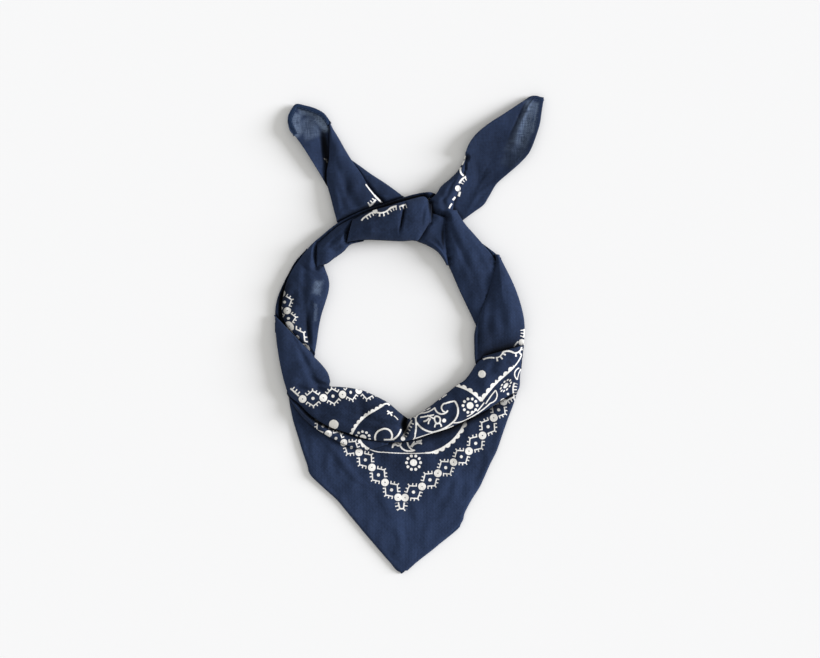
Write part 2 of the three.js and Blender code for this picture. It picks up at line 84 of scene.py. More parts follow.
# A band's section: how high its layered side goes, the notches between the layers, and how round
# the layers and the crown are.
SIDE_SHARE = 0.6
NOTCH_DEPTH = 1.0
NOTCH_SHARE = 0.12
LAYER_ROUNDNESS = 0.6
CROWN_ROUNDNESS = 0.62
SIDE_FADE = 0.7
POINTS_A_LAYER = 5
POINTS_OVER_CROWN = 27
POINTS_UNDER = 6

# A band's ends: how far they run on and drop, the rings that round them over, the ever smaller
# rings that close them, how far those bulge and the print runs on, and the cloth of both ends.
END_RUN = 2.0
HEM_END_RUN = 0.6
END_DROP = 2.2
DROP_SHARE = 0.3
END_STEPS = (0.35, 0.65, 0.87, 1.0)
END_RINGS = (0.94, 0.6, 0.25, 0.03)
END_BULGE = 0.3
END_PRINT = 3

# A laid layer rounds down at its edge and has no crumples right beside it. Its crumples rise more
# than they sink. Its area is counted as at least LEAST_AREA of the cloth's width by its length.
EDGE_ROUND = 3.2
SMOOTH_RIM = 6
SAG_TAPER = 1.5
LEAF_CRUMPLE = 0.7
HOLLOW_SHARE = 0.5
LEAST_AREA = 0.31
HEM_CRUMPLE = 0.1

# Crumples are waves 11 to 36 mm long, each turned by some radians and shifted from the last, that
# sway from side to side. Together they rise to about one unit.
CRUMPLE_WAVES = 12
CRUMPLE_TURN = 2.4
SHORTEST_WAVE = 11
WAVE_STEP = 2.3
WAVE_SWAY = 0.9
SWAY_LENGTH = 0.6
WAVE_SHIFT = 1.7
WAVES_TOGETHER = 2.6

# A fold's depth tapers between these shares of its length.
BLUNT_ENDS = (0.04, 0.96)

# The seam runs near the hem's inner edge, in a slight groove, and its thread lies on the cloth.
SEAM_SHARE = 0.82
SEAM_HEIGHT = 0.9
SEAM_GROOVE = 0.35
SEAM_HALF_WIDTH = 0.12
THREAD_RADIUS = 0.17
THREAD_LIFT = 0.1

# A chart holds the highest cloth over each cell of the table, from the table's lower left corner.
CHART_CELL = 0.75
CHART_ORIGIN = (-110.0, -190.0)
CHART_CELLS = (294, 507)
CHART_FINENESS = 3
FAR = 99.0

# Cloth that goes under another fold is pinched down to PINCH at the fold's edge, or lies TUCK_GAP
# below the fold where that is lower. Beyond the edge it rounds up again over TUCK_REACH.
PINCH = 3.0
TUCK_GAP = 0.8
TUCK_REACH = 6.0
TUCK_RISE = 1.6 / 1.35
TUCK_EASE = 1.25
TUCK_FLOOR = 0.9

# How the folds' shade is painted into the cloth: how far around a place the cloth that shuts it in is
# looked for, in how many directions, and how much each cause paints the place darker as shade, or
# rubs it paler and paints it lighter as a highlight on a crest.
LOOK_ROUND = (1.1, 2.2, 3.6, 5.5, 8)
DIRECTIONS = 12
LOOK_OVER = 0.3
OPEN_SHARE = 0.16
CLOSED_DARKNESS = 1.9
FOLD_DARKNESS = 0.13
CREST_HEIGHT = 5
CREST_WEAR_AND_HIGHLIGHT = 0.6
DARKEST = 0.93
PALER_SHARE = 0.45
SPREAD_ROUNDS = 10

# Where the outer skin, the inner skin and the rims lie across the map that a bake uses.
BAKE_LANES = ((0.01, 0.9), (0.92, 0.985))
BAKE_LENGTH = (0.01, 0.99)
RIM_LANE = (0.988, 0.995)
RIM_LENGTH = (0.01, 0.98)

# Columns of a band: its outer edge, its inner edge and the height of its crown.
# Columns of a crease: the rows and the shares of the width where it starts and ends, how deep it
# is (a ridge is negative) and half its width as a share of the band's.
# "under" names the pieces that lie over this one and press it down, to "pinch" at most. Those that
# "close" names too lie right on this one, with no pinch. "base" lifts the whole band.
BANDS = {
    "knot_band": {
        "layers": 3,
        "rows": [
            [-41, 87.5, -45.5, 70, 14], [-35, 90.5, -39.5, 71, 17], [-26, 94, -30, 71.5, 18.5],
            [-17, 96.5, -18.5, 71, 19], [-5.5, 100, -6.5, 70.5, 19], [3.5, 102.6, 2, 71, 18.5],
            [10, 104, 6.5, 71, 17.5], [13.2, 102.5, 10.4, 76.5, 16.5], [15.2, 98.5, 14.8, 83.5, 15],
        ],
        "creases": [
            [0.6, 3.2, 0.62, 0.5, 1.2, 0.14], [0, 2.4, 0.3, 0.25, 0.9, 0.12],
            [4.5, 7, 0.3, 0.45, 0.8, 0.14],
        ],
    },
    "front_roll": {
        "layers": 3,
        "rows": [
            [-101.5, 13, -72, -17, 8.5], [-101, 1, -67, -22, 10], [-99.5, -11.5, -62, -28.5, 11],
            [-97, -25.5, -60, -35, 11.5], [-94, -37.5, -60, -39, 11.5],
            [-90.5, -46, -52.5, -39.5, 11.5], [-83.5, -52, -43.5, -40.5, 12],
            [-75.5, -60, -34.5, -42.5, 12.5], [-67, -66, -24.5, -47, 13], [-58, -70.5, -15.5, -52, 13],
            [-46, -74.5, -8, -58.5, 12.5], [-33, -78.5, -4, -61.5, 12], [-18.5, -81, -1, -63.5, 11],
            [-7, -81, 2.5, -62.5, 10.5], [3.5, -79, 8.5, -59, 11.5], [15.5, -75, 16.5, -53.5, 12.5],
            [28.5, -71, 24, -47.5, 13], [39.5, -66, 30.5, -42.5, 13], [52, -60, 36, -38, 13],
            [61, -55, 41, -35, 13], [68.5, -50, 45, -30.5, 12.5], [76, -45.5, 48.5, -25, 12],
            [82.5, -41, 51, -21.5, 11.5], [83.5, -30.5, 53, -19.5, 11.5], [84.5, -20, 54, -19, 11],
            [85.5, -10, 55, -18.5, 9.5],
        ],
        "creases": [
            [0, 5, 0.5, 0.72, 2.0, 0.14], [3, 7, 0.8, 0.45, 1.8, 0.12], [8, 13, 0.45, 0.8, 1.7, 0.12],
            [17, 23, 0.3, 0.35, 1.4, 0.12], [20, 25, 0.75, 0.6, 1.7, 0.14],
            [6, 11, 0.25, 0.3, 1.2, 0.12], [14, 19, 0.25, 0.55, -0.8, 0.1],
        ],
    },
    "right_lower": {
        "layers": 2, "pinch": 4, "under": ["front_roll"],
        "rows": [
            [65, 58.5, 68.5, 58.5, 8], [65, 52.5, 72, 51.5, 9.5], [62.5, 41.5, 77, 41.5, 10.5],
            [58.5, 29, 81, 32, 11], [54, 18, 84.5, 21, 11], [51, 9, 86.5, 11.5, 10.5],
            [49, 0.5, 87, 3.5, 10], [49, -9.5, 86.5, -5, 9], [49.5, -19.5, 85.5, -14, 8],
            [52, -28.5, 84.5, -24, 7.5],
        ],
        "creases": [[4, 8, 0.5, 0.6, 1.2, 0.18], [1, 6, 0.35, 0.75, -0.8, 0.12]],
    },
    "knot_fold": {
        "layers": 2, "pinch": 6, "under": ["knot_band"], "close": ["knot_band"],
        "rows": [
            [14, 90.5, 27.5, 86, 10.5], [8.5, 79, 27, 79.5, 10.5], [4, 72, 27.5, 74, 10],
            [12, 68, 28, 69, 9.5], [18.5, 64.5, 28.5, 63.5, 9.5], [23, 60.5, 29, 58.5, 9],
            [27, 54.5, 29.5, 54, 8],
        ],
        "creases": [[1, 5, 0.5, 0.6, 1.2, 0.2]],
    },
    "right_tail_fold": {
        "layers": 2, "pinch": 9, "under": ["knot_band", "knot_fold"], "close": ["knot_fold"],
        "rows": [
            [17, 84, 30, 82, 7], [13.5, 92.5, 32.5, 91, 12.5], [13.5, 99.8, 33.5, 99.5, 14],
            [20, 106, 36, 105.5, 13], [24, 112, 38, 112.5, 12], [30.5, 117.5, 40.5, 119, 11],
            [36, 123, 42, 125.5, 9.5], [39.5, 128.5, 42.5, 131, 8],
        ],
        "creases": [[1, 5, 0.6, 0.5, 1.3, 0.16]],
    },
    "right_upper": {
        "layers": 2, "pinch": 6, "under": ["knot_band", "right_lower", "knot_fold"],
        "close": ["knot_fold"],
        "rows": [
            [23, 92.5, 36.5, 92, 12], [24.5, 82, 42, 83.5, 12], [27, 69.5, 49, 75.5, 11.5],
            [29, 54.5, 55.5, 68, 11], [33, 44.5, 61.5, 61, 10], [37.5, 34, 66, 53.5, 9],
            [42, 24.5, 68, 44.5, 8], [46.5, 15, 68.5, 33.5, 7], [50, 7.5, 68.5, 24.5, 6],
            [53.5, 0.5, 70, 15, 5.5],
        ],
        "creases": [
            [3, 8, 0.75, 0.6, 1.3, 0.16], [0, 3, 0.3, 0.4, 1.3, 0.12], [2, 6, 0.3, 0.35, -0.7, 0.1],
        ],
    },
    "left_turn": {
        "layers": 2, "pinch": 7, "under": ["knot_band"],
        "rows": [
            [-31.5, 92.5, -36.5, 70, 13], [-39, 89.5, -44.5, 68, 12.5], [-47.5, 85.5, -50, 62.5, 12],
            [-55, 81, -57, 57.5, 11.5], [-61.5, 75.5, -62.5, 53.5, 11], [-68, 70, -68.5, 52, 9.5],
        ],
        "creases": [[0.5, 4.5, 0.3, 0.45, 1.8, 0.14], [0.2, 2.2, 0.7, 0.6, 1.4, 0.12]],
    },
    "left_shoulder": {
        "layers": 2, "pinch": 5, "under": ["knot_band", "left_turn", "front_roll", "right_tail_fold"],
        "rows": [
            [21, 105.5, 19.5, 102.5, 9], [15.5, 107.5, 15, 103.5, 12], [8, 106.5, 8.5, 102.5, 13],
            [-4, 103.6, -2.5, 99, 13], [-17.5, 99, -16, 94, 13], [-34.5, 93.6, -33, 88.5, 12],
            [-49, 87, -46.5, 82.5, 11], [-58, 81.5, -54, 77.5, 10], [-66.5, 74.5, -60, 72.5, 10],
            [-74, 68, -65, 65.5, 10], [-80.5, 60, -66, 58.5, 10], [-87, 51, -64.5, 52, 10],
            [-92, 41.5, -61, 41.5, 10], [-94.5, 33, -61, 33.5, 10], [-96, 25, -63.5, 24.5, 9.5],
            [-96.5, 19, -66.5, 15, 9], [-95, 11.5, -68.5, 5.5, 8.5], [-91, 5, -70, -5, 8],
            [-85, -2, -71.5, -14, 7.5], [-80.5, -7, -72, -20, 7],
        ],
        "creases": [[10, 14, 0.35, 0.5, 1.4, 0.16], [12, 16, 0.25, 0.2, 1.0, 0.1]],
    },
    "left_underlayer": {
        "layers": 1, "pinch": 0.9, "under": ["left_shoulder", "front_roll"],
        "rows": [
            [-79, 63, -77, 60.5, 4], [-86, 55, -81.5, 52, 4.5], [-92, 44.5, -86, 42, 4.5],
            [-96.5, 36, -89, 32, 4.5], [-100, 27, -91, 23, 4.5], [-101.5, 18, -92.5, 15.5, 4.5],
            [-101.5, 10, -93.5, 8.5, 4.5], [-101.5, 3.5, -92.5, 2.5, 4.5],
        ],
        "creases": [[0.4, 7.4, 0.42, 0.52, 4.2, 0.3]],
    },
    "left_tail_flap": {
        "layers": 2, "under": ["knot_band", "left_turn", "left_shoulder"],
        "rows": [
            [-51, 73, -15.5, 92.5, 11], [-54, 83, -20, 99.5, 11], [-57, 93.5, -25.5, 105.5, 10],
            [-59.5, 103.5, -31.5, 113, 9], [-62, 113, -36.5, 121.5, 8.5],
            [-62.5, 122.5, -43.5, 131.5, 8], [-61, 132, -49, 140.5, 7], [-60.5, 141, -53.5, 148.5, 6],
            [-60.5, 149.5, -57.5, 155, 5], [-60.5, 155.5, -59.5, 159, 4],
        ],
        "creases": [[0, 6, 0.5, 0.45, 1.5, 0.16], [1, 4, 0.2, 0.3, 0.9, 0.1]],
    },
    "left_tail_rear": {
        "layers": 1, "under": ["knot_band", "left_shoulder", "left_tail_flap"],
        "rows": [
            [-44.5, 132.5, -48, 127.5, 4], [-37.5, 127.5, -45, 117, 4.5], [-28.5, 121, -39.5, 107, 5],
            [-18.5, 114.5, -33, 98, 6], [-9.5, 108, -24.5, 91, 7], [-2.5, 102.5, -16.5, 86.5, 8],
        ],
    },
    "right_back_hem": {
        "layers": 1, "under": ["right_upper", "right_lower"],
        "rows": [[53.5, 70, 52, 67, 5], [61, 64.5, 58.5, 61.5, 5], [68, 59, 65.5, 55.5, 5]],
    },
    "front_pleat": {
        "layers": 1, "base": 1.6, "pinch": 4.2, "under": ["front_roll"],
        "rows": [
            [-91, -43, -91.5, -46.5, 5], [-84.5, -49, -86.5, -55, 6], [-77, -55.5, -80, -63, 7],
            [-68.5, -62, -72, -70, 7.5], [-59.5, -67.5, -63.5, -75.5, 7.5],
            [-49.5, -71, -54.5, -80.5, 7], [-40.5, -73.5, -45, -84.5, 6.5],
            [-32, -75.5, -36.5, -86.5, 5.5], [-24, -77.5, -28.5, -86.5, 4.8],
            [-16.5, -78.5, -18.5, -83.5, 4.4],
        ],
    },
}

# Columns of a leaf: its left edge, its right edge, how far it is lifted at the left, in the middle
# and at the right, and how far the row sags towards the point in its middle. "top" is its height,
# "edge" how far its edges round down and "across" how many faces it has across.
POINT_ROWS = [
    [-91.5, -45, 82, -42, 0.4, 0.4, 0.4, 27], [-90.5, -53, 78.5, -53, 0.4, 0.4, 0.4, 24],
    [-88, -65, 74, -65, 0.4, 0.2, 0.4, 20], [-84.5, -76.5, 70, -76.5, 0.5, 0, 0.4, 15],
    [-81, -88, 66, -88, 0.6, 0, 0.5, 11], [-77.5, -98, 61, -98, 0.6, 0, 0.6, 8],
    [-75, -106, 57, -107, 0.4, 0, 0.6, 5], [-66, -115, 53, -115.5, 0.2, 0, 0.5, 2],
    [-55, -125, 47, -125, 0, 0, 0.5, 0], [-47, -134.5, 42, -134.5, 0, 0, 0.4, 0],
    [-39.5, -143.5, 38.5, -143.5, 0, 0, 0.2, 0], [-26, -159.5, 21.5, -159.5, 0, 0, 0, 0],
    [-16, -171, 7, -171, 0, 0, 0, 0], [-9, -178.5, -1.5, -178.5, 0, 0, 0, 0],
]

LEAVES = {
    "point_back": {
        "top": 0.7, "wall": 0.5, "edge": 0.1, "across": 90,
        "rows": [row[:4] + [0, 0, 0, row[7]] for row in POINT_ROWS],
    },
    "point_front": {
        "top": 2.9, "wall": 0.5, "edge": 1.5, "across": 150, "pinch": 1.5,
        "under": ["front_roll", "front_pleat"], "close": ["front_pleat"],
        "rows": POINT_ROWS,
        "creases": [
            [2, 7, 0.12, 0.3, -1.2, 0.05], [3, 9, 0.85, 0.72, -1.1, 0.06],
            [5, 11, 0.5, 0.62, -0.6, 0.07], [4, 12, 0.3, 0.42, -0.5, 0.08],
        ],
    },
    "left_tail_leaf": {
        "top": 1.3, "wall": 0.5, "edge": 0.3, "across": 36, "under": ["left_tail_flap"], "pinch": 0.9,
        "rows": [
            [-88, 172, -83, 174, 3.5, 3, 3, 0], [-91.5, 165.5, -73, 171.5, 4.5, 1.2, 3, 0],
            [-91.5, 159.5, -64.5, 167, 5.5, 0.6, 3, 0], [-90, 153.5, -60, 160, 6, 1.6, 2, 0],
            [-85, 148, -57, 151, 6, 3, 0.4, 0], [-80, 141, -55, 142, 6, 3, 0, 0],
            [-74, 131.5, -54, 133.5, 5.5, 2.4, 0, 0], [-68, 122.5, -55, 124.5, 5, 0, 0.2, 0],
            [-62.5, 113, -55, 114.5, 4, 0, 0, 0], [-58.5, 104, -52, 105, 3, 0, 0, 0],
        ],
    },
    "right_tail_leaf": {
        "top": 2.6, "wall": 1.6, "edge": 0.9, "across": 56,
        "under": ["right_tail_fold", "right_upper", "knot_fold"],
        "close": ["right_tail_fold", "right_upper", "knot_fold"], "pinch": 2.0,
        "rows": [
            [23, 85, 35, 82, 2, 0, 0, 0], [27, 91, 40.5, 86.5, 2, 0, 0, 0],
            [30, 97.5, 48.5, 92.5, 2.5, 0.5, 0, 0], [33.5, 105.5, 56, 98, 3.5, 1.5, 0, 0],
            [37.5, 114.5, 60.5, 105, 5, 1.5, 0.5, 0], [40.5, 124, 66, 114, 6, 1, 1, 0],
            [42, 132.5, 75, 122, 7, 0.6, 1.5, 0], [43.5, 141, 83.5, 129.5, 7.5, 0.4, 2.5, 0],
            [49.5, 150.5, 90.5, 137.5, 7, 0.4, 3, 0], [59.5, 159, 95, 148, 6, 0.6, 3, 0],
            [71, 166.5, 98.5, 159, 5, 1, 2.6, 0], [81.5, 173.5, 100, 169, 4, 1.4, 2.2, 0],
            [89.5, 178.5, 101, 175, 3, 1.6, 2, 0], [94.5, 180.5, 101.5, 178, 2.4, 1.8, 2, 0],
        ],
        "creases": [[7, 13, 0.8, 0.25, -1.2, 0.1], [3, 8, 0.5, 0.6, 0.8, 0.12]],
    },
}

# Sharper folds, through three places: how deep each is (a ridge is negative) and half its width.
FOLDS = {
    "knot_band": [
        [-3, 98.5, -4.8, 90, -7.2, 77.5, 4.2, 1.5], [9, 80, 10.5, 90, 12.5, 99, 0.8, 2.5],
        [-30, 80, -18, 77, -8, 78, 0.8, 3],
    ],
    "left_turn": [
        [-40, 84, -43.8, 78, -46.6, 70, 3.8, 1.9], [-60, 73, -54, 70, -48, 72, -0.8, 2.5],
        [-62, 66, -56, 64, -50, 68, 1, 2.5],
    ],
    "left_shoulder": [
        [-34, 90.6, -16, 96.8, 8, 104.2, 3.2, 0.9], [-77, 16, -76.4, 5, -75.4, -8, 3.6, 3.2],
        [-73.6, 27, -73.8, 24, -74.6, 19, 1.4, 1.8], [-71.2, 24, -71.6, 17, -71.6, 9, -1, 1.2],
        [-88, 44, -80, 32, -78, 20, 1, 4], [-84, 56, -76, 48, -70, 46, 0.8, 3],
    ],
    "left_underlayer": [[-89.5, 47, -96.6, 30, -98.4, 8, 4, 1.9]],
    "front_roll": [
        [-1.5, -58, -4, -67, -3, -75.5, 8, 3.4], [-3, -75, -14, -80.5, -28, -80.5, 2, 2],
        [-3, -72, 6, -69.5, 14, -62, 1.2, 3], [-39, -44, -37, -52, -33, -62, 2, 4.5],
        [-72, -33, -68, -37, -62, -38, 2.4, 3], [-88, -38, -76, -42, -62, -40, 1.4, 3],
        [50, -24, 62, -27, 78, -26, -1, 6], [20, -56, 36, -60, 52, -56, -0.8, 5],
        [60, -40, 68, -37, 78, -32, 0.8, 3],
    ],
    "right_lower": [
        [53, 14, 52, -2, 51.8, -19, 2, 1.2], [62, 34, 60, 12, 62, -8, 1.4, 5],
        [74, 38, 76, 18, 74, -4, -1, 5], [53, -16, 66, -13, 83, -7.5, 3.4, 4.5],
    ],
    "right_upper": [
        [28, 88, 27.4, 80, 29, 69, 3, 2], [36, 70, 44, 52, 52, 30, 1.2, 4],
        [44, 76, 52, 66, 60, 50, -0.7, 3],
    ],
    "right_tail_fold": [[17.4, 101, 17.2, 96, 18, 91, 2.6, 1.6], [24, 106, 27, 97, 27, 88, 1.2, 3]],
    "right_tail_leaf": [
        [88, 177.5, 80, 159, 71.6, 140.5, 1.1, 1.6], [50, 132, 52, 118, 44, 104, 0.8, 4],
        [60, 112, 52, 106, 46, 96, -0.8, 3],
    ],
    "left_tail_leaf": [
        [-65.4, 152, -63.8, 141, -62.6, 128, 5, 4.2], [-62.6, 128, -62.6, 121, -62.8, 113, 4, 1.8],
    ],
    "left_tail_flap": [
        [-50, 100, -46, 112, -50, 126, 1, 4], [-30, 96, -40, 90, -50, 88, 1, 4],
        [-56, 86, -54, 98, -56, 112, -0.7, 3],
    ],
    "front_pleat": [[-70, -64, -56, -73.5, -40, -79.5, 0.8, 2]],
    "point_front": [
        [5, -80.4, 30, -73.4, 62, -56.4, 3.2, 2.8], [-40, -84, -26, -82.6, -8, -83, 1.6, 1.8],
        [-84, -58, -78, -74, -76, -90, 0.8, 4], [-60, -84, -62, -98, -58, -112, -0.7, 5],
        [30, -96, 36, -112, 30, -130, -0.6, 6], [52, -84, 56, -98, 50, -112, 0.6, 5],
        [-20, -140, -8, -150, -4, -164, -0.5, 5],
    ],
}

# Broad soft places drawn paler, as faded dye, or darker, partly as painted shade beside the roll, the
# knot and the shoulder: x, y, reach and amount.
FADED_AND_SHADED = [
    [-4, -150, 26, 0.7], [-34, -122, 22, 0.3], [40, -122, 26, 0.55], [-70, -92, 20, 0.3],
    [-8, -103, 20, -0.3], [24, -80, 22, -0.25], [-52, -56, 22, -0.25], [-24, -64, 20, -0.35],
    [40, -50, 26, -0.2], [-84, 28, 22, -0.2], [-20, 84, 24, -0.25], [60, 140, 34, -0.3],
    [-46, 110, 28, -0.12], [76, 22, 16, 0.2], [62, -5, 13, -0.4], [44, 52, 20, 0.15],
]

# Valleys painted dark as shade that no light reaches, along lines through three places: darkness
# and half width.
VALLEYS = {
    "point_front": [[-40, -78, -2, -84, 22, -77, 0.45, 4.5], [18, -77, 48, -63.5, 82, -48, 0.7, 5]],
    "front_pleat": [[-88, -53.5, -68, -67, -34, -79, 0.85, 4]],
    "right_lower": [[50, -18, 66, -12.5, 87, -3, 0.75, 8]],
    "knot_fold": [[8, 80, 15, 73, 25, 67, 0.4, 7], [25.2, 82, 24.8, 75, 25.6, 65, 0.9, 1.6]],
    "knot_band": [[14.6, 101, 15.4, 96, 16.6, 88, 0.9, 2], [16.8, 102, 17.1, 94, 17, 84, 0.9, 1.5]],
    "right_tail_fold": [[15.6, 103, 16.4, 96, 17.4, 87, 0.9, 2.2]],
    "right_upper": [[26, 80, 26.2, 72, 27.6, 62, 0.6, 1.6]],
    "left_tail_leaf": [
        [-66, 155, -63.8, 142, -62.4, 130, 0.95, 4.6], [-63, 134, -62.4, 122, -62.6, 110, 0.9, 2.2],
    ],
    "left_shoulder": [
        [-34, 93.5, -12, 100, 16, 106.6, 0.75, 5], [-92, 43, -97.6, 24, -95.4, 4, 0.93, 6.5],
        [-79, 12, -77, 2, -75, -10, 0.5, 4],
    ],
    "left_underlayer": [[-90, 46, -98.4, 26, -96, 4, 0.8, 2.6]],
    "front_roll": [[-4, -60, -5, -68, -3.4, -76, 0.7, 4], [4, -60, 0, -68, -3, -76, 0.5, 4]],
}

# Edges that carry a hem: x, y and how far the hem's underside is lifted, then on which side of the
# edge the hem lies, its height and the pieces over it.
HEMS = {
    "point_left_hem": {
        "inward": 1, "height": 2.6,
        "edge": [
            [-76, -104, 0], [-72, -108.5, 0], [-53.5, -126.5, 0], [-32, -152.5, 0], [-17, -169.5, 0],
            [-10.5, -177.6, 0], [-6.5, -180, 0],
        ],
    },
    "point_right_hem": {
        "inward": 1, "height": 2.5, "under": ["point_left_hem"],
        "edge": [
            [-5.5, -180.4, 0], [1.5, -175, 0], [15, -164.5, 0], [35, -148.5, 0], [39, -143, 0],
            [42.5, -132, 0],
        ],
    },
    "left_tail_hem": {
        "inward": -1, "height": 1.8, "under": ["left_tail_flap"],
        "edge": [
            [-88, 150.5, 5.5], [-91.8, 159.4, 5], [-91.4, 165.4, 4], [-89, 170.7, 3.2],
            [-85.5, 174.3, 2.8], [-79, 173.2, 2.6], [-73, 171.5, 2.6], [-64.7, 167.2, 2.6],
            [-59.5, 160.5, 2.4],
        ],
    },
    "right_tail_hem": {
        "inward": 1, "height": 2.0,
        "edge": [
            [83.5, 129.5, 2.2], [90.5, 137.5, 2.6], [95, 148, 2.6], [98.5, 159, 2.4], [100, 169, 2],
            [101.5, 178.5, 1.8],
        ],
    },
}

# The corner of the right tail is rolled over, with its hem outwards.
TAIL_CORNER = {
    "inward": -1, "height": 3.4,
    "edge": [
        [87.5, 177.6, 1.4], [91.5, 180.1, 1.4], [95.5, 180.6, 1.2],
        [99, 179.6, 1.0], [101.4, 177.8, 0.8],
    ],
}

